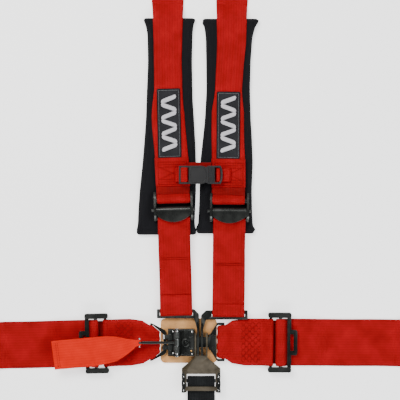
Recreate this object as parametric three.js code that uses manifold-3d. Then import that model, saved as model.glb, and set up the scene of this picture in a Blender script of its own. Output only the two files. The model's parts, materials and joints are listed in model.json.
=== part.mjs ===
// A five-point latch-and-link racing harness laid out flat: two shoulder belts towards +Y, two lap belts
// along -X and +X, one sub belt towards -Y. Millimetres, +Z up, z = 0 is the surface it lies on, and the
// origin is the middle of the layout on that surface.
import * as THREE from 'three';
import { mergeVertices } from 'three/addons/utils/BufferGeometryUtils.js';
import Module from 'manifold-3d';

const wasm = await Module();
wasm.setup();

// ---- driving dimensions -------------------------------------------------------------------------
const gap = 0.3; // between pieces that touch
const reach = 446; // from the origin to the end of each belt's anchor bracket
const lapWidth = 76.2; // 3 in webbing
const shoulderWidth = 50.8; // 2 in webbing
const subWidth = 44.5; // 1.75 in webbing
const webbing = 2.2; // thickness of one layer
const doubled = 2 * webbing; // two layers sewn together
const steel = 3; // plate of the links, slides and brackets
const slack = 0.4; // lift of a belt off what it lies on
const beltSide = 1.2; // room at each edge of a belt in a slot
const over = 1; // how far a cutting solid runs past what it cuts
const boltHole = 11.5; // for a 7/16 in eye bolt

// Where the five belts meet, and how far each belt line is turned from its main direction.
const buckleY = -230.5;
const lines = {
  leftShoulder: { x: -38.5, y: -180, turn: 1.5 },
  rightShoulder: { x: 46, y: -182, turn: -0.55 },
  leftLap: { x: -79, y: buckleY, turn: 91.4 },
  rightLap: { x: 38, y: buckleY, turn: -90.4 },
  sub: { x: 1.8, y: -292, turn: 180 },
};
const deg = THREE.MathUtils.degToRad;

const leather = { left: -64, right: 27.5, top: 38, bottom: 34.5, thick: 3, corner: 8 };
const latch = {
  left: -52, right: -9.5, half: 22, wall: 2, floor: 2, knuckle: 9, knuckleTop: 8, knuckleInner: 5,
  knuckleWall: 1.8, cover: 2, coverZ: 13.5, earHalf: 5.5, earTop: 23,
};
const axle = { x: -37.4, z: 18.7, radius: 2.8, running: 0.35 };
const barrel = { radius: 6, inner: 5.2, outer: 17.4 };
const rod = { radius: 2.4, hub: 5, hubHalf: 4.8, end: -98, eye: 3.4, eyeHalf: 1.7 };
const tabPin = { radius: 1.6, half: 7.6 };
const tab = {
  neckHalf: 5.5, neck: 9, flare: 22, half: 22, length: 140, thick: 2.4, turn: 7.5, eye: 4.8, corner: 3,
  notch: 0.8,
};
const keeper = { x: -22.7, thick: 2.2, ring: 7.3, ringHole: 3.9, bar: 3.2, post: 18.2, tooth: 2.6, rise: 3 };
const post = { radius: 1.7, head: 2.7, headThick: 1.4 };
const tongue = { half: 8, thick: 3, z: 8.5, tip: -29.5, hole: 3.6, root: 11.3, rootFrom: 14.5, rootTo: 26 };
const rivet = { x: 21.5, spread: 10, radius: 2, head: 3, headThick: 1.2 };
const upright = {
  thick: 3.4, top: 22, half: 21, windowHalf: 9.8, windowLow: 6.8, windowHigh: 13.4, toe: 6, nip: 3,
};
const linkX = { left: -3.3, right: 3.3, ear: 9.2 };
const innerTaper = { trim: 3, from: 14, to: 34, lift: 1.4, overBar: 0.5 };
const shoulderLink = {
  bar: 6, slot: doubled, z: innerTaper.lift + doubled + slack, thick: 2.8, side: 1.6, arm: 4.5, foot: -18,
  eye: 4.2, run: 8,
};
const lapLoop = {
  bar: 4, z: 6, thick: 2.6, wide: 28, narrow: 16.5, arm: 4, straight: 2, back: 15, endHalf: 13.5,
};
const lapLink = {
  bar: 4, z: 4.6, thick: 3, wide: 27.5, narrow: 12, arm: 4, straight: 10, back: 11.4, endHalf: 22,
};
const lapAdjuster = {
  at: { left: 88.5, right: 91.2 }, inside: lapWidth / 2 + 2, cheek: 8.4, length: 38, low: 1.2, top: 12.4,
  inner: -14.5, innerBar: 4.6, outer: 15.6, outerBar: 6.4, barThick: 3.2, barZ: 2 * doubled - 1.4,
  tabHalf: 20.5, tabReach: 10, slotHalf: 13.5, slotWide: 5.6, slotFrom: 1.6, corner: 3.5, tail: 62,
};
lapAdjuster.half = lapAdjuster.inside + lapAdjuster.cheek;
lapAdjuster.eye = Math.hypot(lapAdjuster.innerBar, lapAdjuster.barThick) / 2 + gap;
const slideBar = { at: 1.4, radius: 2.9, travel: 3, inCheek: 3.6 };
slideBar.z = 2 * gap + webbing + slideBar.radius + 2.2;
const sub = {
  inside: subWidth / 2 + 1, side: 8.05, neckHalf: 10.5, neckEnd: 36, neckTop: 22, shoulder: 19, top: 14.4,
  low: 5, plate: 2.6, outer: 14.2, outerBar: 7, end: 19.5, windowIn: -9.6, foot: 2, corner: 1.2,
  earThick: 2.6, earTop: 19, earFrom: -15, earTo: 26, tail: 30,
};
const pad = {
  thick: 10, from: -51, to: 298, end: 44, waist: 35.5, waistAt: 0.52, waistIn: 3, corner: 9, bulge: 2,
};
const onPad = pad.thick + gap;
const adjuster = {
  at: 164, cheekIn: shoulderWidth / 2 + 2.6, cheek: 3.5, front: -17.5, low: pad.thick + 1, rollBar: 4.4,
  lowerAt: -13.4, lowerBar: 2.6, back: 13.5, corner: 2,
};
const camLever = {
  radius: 5.4, pin: 2.4, pinOut: 4, lipDeep: 19.5, lipThick: 2.4, lipSide: 8, lipBend: 0.55,
};
adjuster.rollAt = camLever.radius + 4.2 + webbing + gap + adjuster.rollBar;
adjuster.rollZ = onPad + slack + webbing + gap + adjuster.rollBar;
adjuster.lowerZ = onPad + slack + webbing + gap + adjuster.lowerBar;
camLever.lipZ = adjuster.lowerZ + adjuster.lowerBar + gap + webbing + 1;
camLever.z = camLever.lipZ - 2.5;
adjuster.top = camLever.lipZ + camLever.lipThick + 0.7;
const pads = { left: { x: -50.5, turn: -0.3 }, right: { x: 45.6, turn: -1.1 } };
const patch = { half: 18.5, length: 111, thick: 1.4, at: 249, corner: 2 };
const sewn = { from: 202, length: 46, thick: 3 * webbing };
const chest = {
  y: 40.5, half: 14.6, strapHalf: 11, strap: 1.8, high: 9.8, wall: 1.8, left: -18, right: 13.4, rail: 2.6,
  barAt: -25.6, barRadius: 1.6, frameEnd: -34, outerBar: 3, barHalf: 1.6, railHalf: 2.4, strapFrom: -50,
  strapTo: 17, farEnd: 62, slope: 14, notch: 6, notchIn: 5, notchOut: 3.8,
};
chest.strapLow = onPad + sewn.thick + gap;
chest.low = chest.strapLow + chest.strap + 2 * gap;
chest.top = chest.low + chest.high;
chest.mid = (chest.low + chest.top) / 2;
const plug = {
  body: 10, end: 33.6, tongueHalf: 3.4, reach: 20, thick: 4.6, barAt: 29.4, barDrop: 1, railIn: 0.6,
};
const arm = { thick: 3.2, reach: 19, root: 9.6, high: 5 };
const slide = {
  half: 6, bar: 4, rest: 2.5, slot: 2 * doubled - gap, low: doubled + slack, thick: 2, crown: 4, corner: 4,
  before: 38,
};
slide.foot = slide.rest + slide.slot + 1.5;
slide.reach = slide.foot + 0.5 + slide.bar;
const bracket = {
  bar: 6, eye: 3.7, slot: 7, arm: 5, tip: 15, length: 60, slopeFrom: 12, slopeTo: 24, corner: 8,
};
bracket.lift = bracket.eye + webbing + 0.1;

// ---- finishes -----------------------------------------------------------------------------------
const finishes = {
  redWebbing: { color: 0xb3161c, roughness: 0.7, metalness: 0 },
  blackWebbing: { color: 0x1c1d20, roughness: 0.75, metalness: 0 },
  orangeTab: { color: 0xf0421a, roughness: 0.65, metalness: 0 },
  padFabric: { color: 0x1b1b1f, roughness: 0.9, metalness: 0 },
  patchFabric: { color: 0x33343a, roughness: 0.85, metalness: 0 },
  leather: { color: 0xd0a276, roughness: 0.6, metalness: 0 },
  blackMetal: { color: 0x202422, roughness: 0.35, metalness: 0.8 },
  bronzeMetal: { color: 0x4a4030, roughness: 0.35, metalness: 0.85 },
  brightMetal: { color: 0xc9c9c6, roughness: 0.25, metalness: 1 },
  blackPlastic: { color: 0x232625, roughness: 0.5, metalness: 0 },
};

// ---- solids -------------------------------------------------------------------------------------
function solid(geometry) {
  geometry.deleteAttribute('normal');
  geometry.deleteAttribute('uv');
  const merged = mergeVertices(geometry, 1e-4);
  return new wasm.Manifold(new wasm.Mesh({
    numProp: 3,
    vertProperties: merged.attributes.position.array,
    triVerts: new Uint32Array(merged.index.array),
  }));
}

function mesh(name, shape, finish) {
  const out = shape.getMesh();
  const geometry = new THREE.BufferGeometry();
  geometry.setAttribute('position', new THREE.BufferAttribute(out.vertProperties, 3));
  geometry.setIndex(new THREE.BufferAttribute(out.triVerts, 1));
  geometry.computeVertexNormals();
  const piece = new THREE.Mesh(geometry, new THREE.MeshStandardMaterial(finishes[finish]));
  piece.name = name;
  return piece;
}

function block(x, y, z) {
  const [[x0, x1], [y0, y1], [z0, z1]] = [x, y, z];
  const geometry = new THREE.BoxGeometry(x1 - x0, y1 - y0, z1 - z0);
  geometry.translate((x0 + x1) / 2, (y0 + y1) / 2, (z0 + z1) / 2);
  return solid(geometry);
}

// A round bar across the belt, along X, centred at (y, z).
function crossBar(radius, half, y, z, sides = 14) {
  const geometry = new THREE.CylinderGeometry(radius, radius, 2 * half, sides);
  geometry.rotateZ(Math.PI / 2);
  geometry.translate(0, y, z);
  return solid(geometry);
}

// A round bar along Y, centred at (x, z), from y0 to y1.
function alongY(radius, x, z, y0, y1, sides = 14) {
  const geometry = new THREE.CylinderGeometry(radius, radius, y1 - y0, sides);
  geometry.translate(x, (y0 + y1) / 2, z);
  return solid(geometry);
}

// An upright round bar at (x, y), from z0 to z1.
function stud(radius, x, y, z0, z1, sides = 16) {
  const geometry = new THREE.CylinderGeometry(radius, radius, z1 - z0, sides);
  geometry.rotateX(Math.PI / 2);
  geometry.translate(x, y, (z0 + z1) / 2);
  return solid(geometry);
}

// A flat outline raised from z0 to z1.
function plate(outline, z0, z1, curveSegments = 3) {
  const geometry = new THREE.ExtrudeGeometry(outline, { depth: z1 - z0, bevelEnabled: false, curveSegments });
  geometry.translate(0, 0, z0);
  return solid(geometry);
}

// A pair of numbers, the lower one first.
function sorted(pair) {
  return [...pair].sort((a, b) => a - b);
}

function polygon(points) {
  return new THREE.Shape(points.map(([x, y]) => new THREE.Vector2(x, y)));
}

// A polygon whose corners are rounded by one radius.
function rounded(points, radius) {
  const outline = new THREE.Shape();
  points.forEach((corner, i) => {
    const here = new THREE.Vector2(...corner);
    const before = new THREE.Vector2(...points[(i + points.length - 1) % points.length]);
    const after = new THREE.Vector2(...points[(i + 1) % points.length]);
    const start = here.clone().add(before.sub(here).setLength(radius));
    const end = here.clone().add(after.sub(here).setLength(radius));
    if (i === 0) outline.moveTo(start.x, start.y);
    else outline.lineTo(start.x, start.y);
    outline.quadraticCurveTo(here.x, here.y, end.x, end.y);
  });
  outline.closePath();
  return outline;
}

// A strap that follows a line of [y, z] points with an even thickness, centred on X.
function strap(line, thickness, width) {
  const points = line.map(([y, z]) => new THREE.Vector2(y, z));
  const sides = [[], []];
  points.forEach((point, i) => {
    const into = point.clone().sub(points[Math.max(i - 1, 0)]).normalize();
    const out = points[Math.min(i + 1, points.length - 1)].clone().sub(point).normalize();
    const along = into.clone().add(out).normalize();
    const bend = i === 0 || i === points.length - 1 ? 1 : along.dot(out);
    const offset = new THREE.Vector2(-along.y, along.x).multiplyScalar(thickness / 2 / bend);
    sides[0].push(point.clone().add(offset));
    sides[1].unshift(point.clone().sub(offset));
  });
  const outline = new THREE.Shape([...sides[0], ...sides[1]]);
  const geometry = new THREE.ExtrudeGeometry(outline, { depth: width, bevelEnabled: false });
  geometry.translate(0, 0, -width / 2);
  geometry.applyMatrix4(new THREE.Matrix4().set(0, 0, 1, 0, 1, 0, 0, 0, 0, 1, 0, 0, 0, 0, 0, 1));
  return solid(geometry);
}

// The webbing's turn round a bar, with the bar's room still to be cut.
function turn(y, z, inner, width) {
  return crossBar(inner + webbing, width / 2, y, z, 16);
}

function join(first, ...others) {
  return others.reduce((whole, other) => whole.add(other), first);
}

function cut(first, ...others) {
  return others.reduce((whole, other) => whole.subtract(other), first);
}

function place(object, x, y, degrees) {
  object.position.set(x, y, 0);
  object.rotation.z = THREE.MathUtils.degToRad(degrees);
  return object;
}

// ---- the buckle ---------------------------------------------------------------------------------
function leatherPad() {
  const { left, right, top, bottom, thick, corner } = leather;
  const outline = rounded([[left, -bottom], [right, -bottom], [right, top], [left, top]], corner);
  return mesh('buckle_leather_pad', plate(outline, 0, thick), 'leather');
}

// A channel with a low wall each side, an ear on each wall for the axle and two knuckles at the left.
function latchBase() {
  const z = leather.thick + gap;
  const { left, right, half, wall, floor, knuckle, knuckleTop, knuckleInner, cover, coverZ } = latch;
  const wallTop = coverZ + cover;
  let base = block([left, right], [-half, half], [z, z + floor]);
  for (const side of [-1, 1]) {
    const span = sorted([side * (half - wall), side * half]);
    const ear = [axle.x - latch.earHalf, axle.x + latch.earHalf];
    base = join(base, block([left, right], span, [z, wallTop]), block(ear, span, [z, latch.earTop]));
    const knuckleSpan = sorted([side * knuckleInner, side * (lapLoop.narrow - lapLoop.arm - 2 * gap)]);
    base = join(base, block([left - knuckle, left + over], knuckleSpan, [z, z + knuckleTop]));
  }
  const loopRoom = [lapLoop.z - gap, lapLoop.z + lapLoop.thick + gap];
  const loopFrom = left - knuckle + latch.knuckleWall;
  base = cut(base, block([loopFrom, loopFrom + lapLoop.bar + 2 * gap], [-half, half], loopRoom));
  base = cut(base, alongY(axle.radius + axle.running, axle.x, axle.z, -half - over, half + over));
  return mesh('latch_base', base, 'blackMetal');
}

// The plate over the channel, open round the barrels, the rod and the keeper's tooth.
function latchCover() {
  const { left, right, half, wall, cover, coverZ } = latch;
  const inside = half - wall - gap;
  const window = [axle.x - barrel.radius - 1, axle.x + barrel.radius + 1];
  const z = [coverZ, coverZ + cover];
  const whole = [coverZ - 1, coverZ + cover + 1];
  const shape = cut(
    block([left + gap, right], [-inside, inside], z),
    block(window, [-barrel.outer - 0.6, barrel.outer + 0.6], whole),
    block([left - 1, window[0] + 1], [-rod.radius - 1, rod.radius + 1], whole),
    stud(keeper.tooth + gap, keeper.x, 0, ...whole),
  );
  return mesh('latch_cover', shape, 'blackMetal');
}

function leverPin() {
  const pin = alongY(axle.radius, axle.x, axle.z, -latch.half - 1, latch.half + 1);
  return mesh('lever_pivot_pin', pin, 'brightMetal');
}

function springBarrel(name, side) {
  const [from, to] = sorted([side * barrel.inner, side * barrel.outer]);
  const ring = cut(
    alongY(barrel.radius, axle.x, axle.z, from, to),
    alongY(axle.radius + axle.running, axle.x, axle.z, from - 1, to + 1),
  );
  return mesh(name, ring, 'blackMetal');
}

// A round rod from a hub on the axle to a flat eye that holds the tab's pin.
function latchLever() {
  const shaft = new THREE.CylinderGeometry(rod.radius, rod.radius, axle.x - rod.end - 1, 20);
  shaft.rotateZ(Math.PI / 2);
  shaft.translate((axle.x + rod.end + 1) / 2, 0, axle.z);
  const whole = join(
    solid(shaft),
    alongY(rod.hub, axle.x, axle.z, -rod.hubHalf, rod.hubHalf),
    alongY(rod.eye, rod.end, axle.z, -rod.eyeHalf, rod.eyeHalf),
  );
  return mesh('latch_lever', cut(
    whole,
    alongY(axle.radius + axle.running, axle.x, axle.z, -latch.half, latch.half),
    alongY(tabPin.radius + gap, rod.end, axle.z, -latch.half, latch.half, 16),
    block([rod.end - rod.eye, rod.end + rod.eye + 1], [rod.eyeHalf, latch.half], [0, latch.half * 2]),
    block([rod.end - rod.eye, rod.end + rod.eye + 1], [-latch.half, -rod.eyeHalf], [0, latch.half * 2]),
  ), 'blackMetal');
}

function pullTabPin() {
  const pin = alongY(tabPin.radius, rod.end, axle.z, -tabPin.half, tabPin.half, 16);
  return mesh('pull_tab_pin', pin, 'brightMetal');
}

// A stiff strap with a forked neck round its pin, in its own frame with the pin at x = 0, reaching to -X.
function pullTab() {
  const { neckHalf, neck, flare, half, length, thick, eye, corner, notch } = tab;
  const outline = rounded([
    [-length, -half], [-neck - flare, -half], [-neck, -neckHalf], [0, -neckHalf],
    [0, neckHalf], [-neck, neckHalf], [-neck - flare, half], [-length, half],
  ], corner);
  const broad = new THREE.ExtrudeGeometry(outline, { depth: thick, bevelEnabled: false, curveSegments: 3 });
  broad.translate(0, 0, -thick / 2);
  broad.rotateZ(deg(tab.turn));
  const flat = join(solid(broad), alongY(eye, 0, 0, -neckHalf, neckHalf));
  const room = rod.eye + notch;
  const shape = cut(
    flat,
    alongY(tabPin.radius + gap, 0, 0, -neckHalf - 1, neckHalf + 1, 16),
    block([-room, eye + 1], [-rod.eyeHalf - notch, rod.eyeHalf + notch], [-eye - 1, eye + 1]),
  );
  const piece = mesh('pull_tab', shape, 'orangeTab');
  piece.position.set(rod.end, 0, axle.z);
  return piece;
}

// A cross bar with a round hook plate over the tongue's end; it rises on its two posts.
function latchKeeper() {
  const z = latch.coverZ + latch.cover + gap;
  const { x, thick, ring, ringHole, bar, tooth } = keeper;
  const whole = join(
    block([x - bar, x + bar], [-keeper.post - bar, keeper.post + bar], [z, z + thick]),
    stud(ring, x, 0, z, z + thick, 20),
    stud(ring - 1.6, x, 0, z, z + thick + 1, 20),
  );
  const shape = cut(
    whole,
    block([x, x + ring + 1], [-1.3, 1.3], [z + thick - 0.8, z + thick + 2]),
    stud(ringHole, x, 0, z + thick - 0.8, z + thick + 2, 16),
    stud(post.radius + gap, x, keeper.post, z - 1, z + thick + 1, 16),
    stud(post.radius + gap, x, -keeper.post, z - 1, z + thick + 1, 16),
  );
  const hook = stud(tooth, x, 0, tongue.z + tongue.thick + gap, z + thick - 0.4);
  return mesh('latch_keeper', join(shape, hook), 'blackMetal');
}

function keeperPost(name, side) {
  const foot = latch.coverZ + latch.cover + gap;
  const head = foot + keeper.thick + keeper.rise + gap;
  return mesh(name, join(
    stud(post.radius, keeper.x, side * keeper.post, foot, head + 0.5, 16),
    stud(post.head, keeper.x, side * keeper.post, head, head + post.headThick, 20),
  ), 'blackMetal');
}

// A flat strip with a round tip and a hole under the keeper, widening to its riveted root.
function latchTongue() {
  const { half, thick, z, tip, hole, root, rootFrom, rootTo } = tongue;
  const outline = new THREE.Shape();
  outline.moveTo(rootTo, -root);
  outline.lineTo(rootTo, root);
  outline.lineTo(rootFrom, root);
  outline.lineTo(rootFrom, half);
  outline.absarc(tip + half, 0, half, Math.PI / 2, 1.5 * Math.PI, false);
  outline.lineTo(rootFrom, -half);
  outline.lineTo(rootFrom, -root);
  outline.closePath();
  const holes = [
    stud(hole, keeper.x, 0, z - 1, z + thick + 1),
    ...[-1, 1].map((side) => (
      stud(rivet.radius + gap, rivet.x, side * rivet.spread, z - over, z + thick + over, 16)
    )),
  ];
  return mesh('latch_tongue', cut(plate(outline, z, z + thick, 6), ...holes), 'blackMetal');
}

function tongueRivet(name, side) {
  const top = tongue.z + tongue.thick + gap;
  const [x, y] = [rivet.x, side * rivet.spread];
  return mesh(name, join(
    stud(rivet.radius, x, y, lapLink.z, top + 0.5, 16),
    stud(rivet.head, x, y, top, top + rivet.headThick, 20),
  ), 'brightMetal');
}

// The flat trapezoid loop between the latch's knuckles and the left lap belt.
function leftLapLoop() {
  const { bar, z, thick, wide, narrow, arm } = lapLoop;
  const barX = lines.leftLap.x;
  const end = latch.left - latch.knuckle + latch.knuckleWall + gap;
  const outer = [
    [barX - bar / 2, -wide - arm], [end + bar, -narrow - arm / 2], [end + bar, narrow + arm / 2],
    [barX - bar / 2, wide + arm],
  ];
  const inner = [[barX + bar / 2, -wide], [end, -narrow + arm], [end, narrow - arm], [barX + bar / 2, wide]];
  const shape = cut(
    plate(rounded(outer, arm * 0.8), z, z + thick),
    plate(polygon(inner), z - over, z + thick + over),
  );
  return mesh('left_lap_loop', shape, 'blackMetal');
}

// The link between the riveted tongue and the right lap belt.
function rightLapLink() {
  const { bar, z, thick, wide, narrow, arm, straight } = lapLink;
  const barX = lines.rightLap.x;
  const neck = tongue.rootFrom - 0.7;
  const shoulder = barX - straight;
  const outer = [
    [neck, -narrow], [neck + 3, -narrow - 1], [shoulder, -wide - arm], [barX + bar / 2, -wide - arm],
    [barX + bar / 2, wide + arm], [shoulder, wide + arm], [neck + 3, narrow + 1], [neck, narrow],
  ];
  const windowFrom = tongue.rootTo + 0.2;
  const inner = [
    [barX - bar / 2, -wide], [shoulder + 1, -wide], [windowFrom, -wide + 3],
    [windowFrom, wide - 3], [shoulder + 1, wide], [barX - bar / 2, wide],
  ];
  const rivetHoles = [-1, 1].map((side) => (
    stud(rivet.radius + gap, rivet.x, side * rivet.spread, z - 1, z + thick + 1, 16)
  ));
  const shape = cut(
    plate(rounded(outer, 1.4), z, z + thick),
    plate(polygon(inner), z - 1, z + thick + 1),
    ...rivetHoles,
  );
  return mesh('right_lap_link', shape, 'blackMetal');
}

function buckle() {
  const fixed = [
    leatherPad(), latchBase(), latchCover(), leverPin(), springBarrel('latch_spring_upper', 1),
    springBarrel('latch_spring_lower', -1), latchLever(), pullTabPin(), pullTab(), latchKeeper(),
    keeperPost('keeper_post_upper', 1), keeperPost('keeper_post_lower', -1), latchTongue(),
    tongueRivet('tongue_rivet_upper', 1), tongueRivet('tongue_rivet_lower', -1), leftLapLoop(),
    rightLapLink(),
  ];
  const group = new THREE.Group();
  group.position.y = buckleY;
  group.add(...fixed);
  return group;
}

// ---- belt ends ----------------------------------------------------------------------------------
// Lengths along a belt line are measured outwards from the line's own origin.
const tailPast = 10; // how far a belt's free end runs past its slide
const barFrom = (span) => span - bracket.length;

// One layer on the floor, then two through the slide, then the turn round the bracket's bar.
function strapEnd(width, from, span) {
  const bar = barFrom(span);
  const middle = bar - slide.before;
  const crownZ = slide.low + slide.thick + gap + webbing;
  const start = middle - slide.reach - tailPast;
  return join(
    strap([...from, [start + 6, webbing / 2]], webbing, width),
    strap([
      [start, webbing], [middle - slide.foot, webbing], [middle - slide.crown, crownZ],
      [middle + slide.crown, crownZ], [middle + slide.foot, webbing + 0.1], [bar - 8, webbing + 0.6],
      [bar - bracket.eye - 1, bracket.lift],
    ], doubled, width),
    turn(bar, bracket.lift, bracket.eye, width),
  );
}

const bracketRoom = (width, span) => crossBar(bracket.eye, width, barFrom(span), bracket.lift, 16);

function anchorSlide(name, width, span) {
  const middle = barFrom(span) - slide.before;
  const half = width / 2 + slide.half;
  const inside = width / 2 + beltSide;
  const [low, high] = [slide.low, slide.low + slide.thick];
  const outline = rounded([
    [-half, middle - slide.reach], [half, middle - slide.reach], [half, middle + slide.reach],
    [-half, middle + slide.reach],
  ], slide.corner);
  const slots = [-1, 1].map((side) => {
    const ends = sorted([side * slide.rest, side * (slide.reach - slide.bar)]).map((y) => middle + y);
    return block([-inside, inside], ends, [low - over, high + over]);
  });
  return mesh(name, cut(plate(outline, low, high), ...slots), 'blackMetal');
}

// A flat bar, a slot, and a plate that steps down and narrows to a round end with the bolt hole.
function anchorBracket(name, width, span) {
  const half = width / 2 + beltSide + bracket.arm;
  const centre = bracket.length - bracket.tip;
  const outline = new THREE.Shape();
  outline.moveTo(-half, -bracket.bar / 2);
  outline.lineTo(half, -bracket.bar / 2);
  outline.lineTo(half, bracket.slopeFrom);
  outline.lineTo(bracket.tip, centre);
  outline.absarc(0, centre, bracket.tip, 0, Math.PI, false);
  outline.lineTo(-half, bracket.slopeFrom);
  outline.closePath();
  const through = [-over, 3 * bracket.lift];
  const slotSpan = [bracket.bar / 2, bracket.bar / 2 + bracket.slot];
  const profile = strap([
    [-bracket.bar / 2, bracket.lift], [bracket.slopeFrom, bracket.lift], [bracket.slopeTo, steel / 2],
    [bracket.length + over, steel / 2],
  ], steel, 2 * (half + over));
  const shape = cut(
    profile.intersect(plate(outline, ...through, 8)),
    block([bracket.arm - half, half - bracket.arm], slotSpan, through),
    stud(boltHole / 2, 0, centre, ...through, 16),
  );
  const piece = mesh(name, shape, 'blackMetal');
  piece.position.y = barFrom(span);
  return piece;
}

// ---- lap and sub adjusters ----------------------------------------------------------------------
// The room in a belt's turn lets the slide bar travel.
function turnRoom(width, at, z) {
  const inner = slideBar.radius + gap;
  const ends = [at + slideBar.at, at + slideBar.at + slideBar.travel];
  return join(
    crossBar(inner, width, ends[0], z), crossBar(inner, width, ends[1], z),
    block([-width, width], ends, [z - inner, z + inner]),
  );
}

function outerBelt(name, width, at, z, span, finish, tail) {
  const outside = slideBar.radius + gap + webbing;
  const ends = [at + slideBar.at, at + slideBar.at + slideBar.travel];
  const low = webbing + gap;
  const whole = join(
    crossBar(outside, width / 2, ends[0], z, 16), crossBar(outside, width / 2, ends[1], z, 16),
    block([-width / 2, width / 2], ends, [z - outside, z + outside]),
    strap([[ends[1], z - slideBar.radius], [at + 11, low], [at + tail, low]], doubled, width),
    strapEnd(width, [[at + tail - 2, low + 1], [at + tail + 12, webbing / 2]], span),
  );
  return mesh(name, cut(whole, turnRoom(width, at, z), bracketRoom(width, span)), finish);
}

function slideBarPiece(name, half, at, z) {
  return mesh(name, crossBar(slideBar.radius, half, at + slideBar.at, z), 'blackMetal');
}

function lapFrame(name, at) {
  const a = lapAdjuster;
  const { inside } = a;
  const z = [a.barZ - a.barThick / 2, a.barZ + a.barThick / 2];
  const cheeks = [-1, 1].map((side) => {
    const [from, to] = side < 0 ? [-a.half, -inside] : [inside, a.half];
    const outline = rounded([
      [from, at - a.length / 2], [to, at - a.length / 2], [to, at + a.length / 2], [from, at + a.length / 2],
    ], a.corner);
    return plate(outline, a.low, a.top, 4);
  });
  const tabEnd = at + a.outer + a.outerBar / 2 + a.tabReach;
  const lift = plate(rounded([
    [-a.tabHalf, at + a.outer], [a.tabHalf, at + a.outer], [a.tabHalf, tabEnd], [-a.tabHalf, tabEnd],
  ], a.corner), ...z, 4);
  const slotFrom = at + a.outer + a.slotFrom;
  const acrossBars = [-inside - over, inside + over];
  const frame = join(
    ...cheeks,
    block(acrossBars, [at + a.inner - a.innerBar / 2, at + a.inner + a.innerBar / 2], z),
    block(acrossBars, [at + a.outer - a.outerBar / 2, at + a.outer + a.outerBar / 2], z),
    lift,
  );
  const pocket = turnRoom(inside + slideBar.inCheek + gap, at, slideBar.z);
  const slotSpan = [slotFrom, slotFrom + a.slotWide];
  const slot = block([-a.slotHalf, a.slotHalf], slotSpan, [z[0] - over, z[1] + over]);
  return mesh(name, cut(frame, pocket, slot), 'blackMetal');
}

// The belt between the buckle's loop and the adjuster's inner bar; its buckle end narrows in the loop.
function innerBelt(name, at, loop) {
  const z = loop.z + loop.thick / 2;
  const inner = loop.thick / 2 + innerTaper.overBar;
  const outer = inner + webbing;
  const ends = [outer - loop.back, loop.bar / 2];
  const barY = at + lapAdjuster.inner;
  const half = lapWidth / 2;
  const layZ = webbing + innerTaper.lift;
  const whole = join(
    crossBar(outer, half, ends[0], z, 16), crossBar(outer, half, ends[1], z, 16),
    block([-half, half], ends, [z - outer, z + outer]),
    strap([
      [ends[1] + 1, z], [loop.bar + 10, layZ], [barY - 12, layZ], [barY - lapAdjuster.eye, lapAdjuster.barZ],
    ], doubled, lapWidth),
    turn(barY, lapAdjuster.barZ, lapAdjuster.eye, lapWidth),
  );
  const room = join(
    crossBar(inner, lapWidth, ends[0], z), crossBar(inner, lapWidth, ends[1], z),
    block([-lapWidth, lapWidth], ends, [z - inner, z + inner]),
  );
  const atBar = loop.wide - shoulderLink.side;
  const side = [
    [loop.endHalf, -loop.back - over], [atBar, -loop.straight], [atBar, loop.bar / 2 + slack],
    [half - innerTaper.trim, innerTaper.from], [half, innerTaper.to], [half, at],
  ];
  const outline = polygon([...side, ...side.map(([x, y]) => [-x, y]).reverse()]);
  const trimmed = cut(whole, room, crossBar(lapAdjuster.eye, lapWidth, barY, lapAdjuster.barZ));
  return mesh(name, trimmed.intersect(plate(outline, -over, 2 * lapAdjuster.top)), 'redWebbing');
}

function lapSide(side) {
  const line = lines[`${side}Lap`];
  const at = lapAdjuster.at[side];
  const span = (reach - Math.abs(line.x)) / Math.cos(deg(Math.abs(line.turn) - 90));
  const group = place(new THREE.Group(), line.x, line.y, line.turn);
  group.add(
    innerBelt(`${side}_lap_inner_belt`, at, side === 'left' ? lapLoop : lapLink),
    lapFrame(`${side}_lap_adjuster_frame`, at),
    slideBarPiece(`${side}_lap_slide_bar`, lapAdjuster.inside + slideBar.inCheek, at, slideBar.z),
    outerBelt(`${side}_lap_outer_belt`, lapWidth, at, slideBar.z, span, 'redWebbing', lapAdjuster.tail),
    anchorSlide(`${side}_lap_anchor_slide`, lapWidth, span),
    anchorBracket(`${side}_lap_anchor_bracket`, lapWidth, span),
  );
  return group;
}

// A plate behind the belt with a cheek each side, a cross bar, and a neck whose two ears hold the tongue.
function subLink() {
  const s = sub;
  const half = s.inside + s.side;
  const tongueY = lines.sub.y - buckleY;
  const neckTop = tongueY + s.neckTop;
  const outline = rounded([
    [-s.neckHalf, neckTop], [s.neckHalf, neckTop], [s.neckHalf, -s.neckEnd], [half, -s.shoulder],
    [half, s.end], [-half, s.end], [-half, -s.shoulder], [-s.neckHalf, -s.neckEnd],
  ], s.corner);
  const base = cut(
    plate(outline, s.low, s.low + s.plate),
    block([-s.inside, s.inside], [s.windowIn, s.end + over], [s.low - over, s.low + s.plate + over]),
  );
  const cheeks = [-1, 1].map((side) => (
    block(sorted([side * (s.inside + over), side * half]), [s.foot - s.shoulder, s.end], [s.foot, s.top])
  ));
  const ears = [-1, 1].map((side) => {
    const x = sorted([side * (linkX.ear - s.earThick / 2), side * (linkX.ear + s.earThick / 2)]);
    const ear = block(x, [tongueY + s.earFrom, tongueY + s.earTo], [leather.thick + 2 * gap, s.earTop]);
    const room = block([-half, half], [tongueY - upright.windowHalf, tongueY + upright.windowHalf],
      [upright.windowLow, upright.windowHigh]);
    return cut(ear, room);
  });
  const barReach = s.inside + 2 * over;
  const barHigh = lapAdjuster.barThick / 2;
  const bar = block([-barReach, barReach], [s.outer - s.outerBar / 2, s.outer + s.outerBar / 2],
    [lapAdjuster.barZ - barHigh, lapAdjuster.barZ + barHigh]);
  const pocket = turnRoom(s.inside + slideBar.inCheek + gap, 0, slideBar.z);
  return mesh('sub_link', cut(join(base, ...cheeks, ...ears, bar), pocket), 'bronzeMetal');
}

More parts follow.
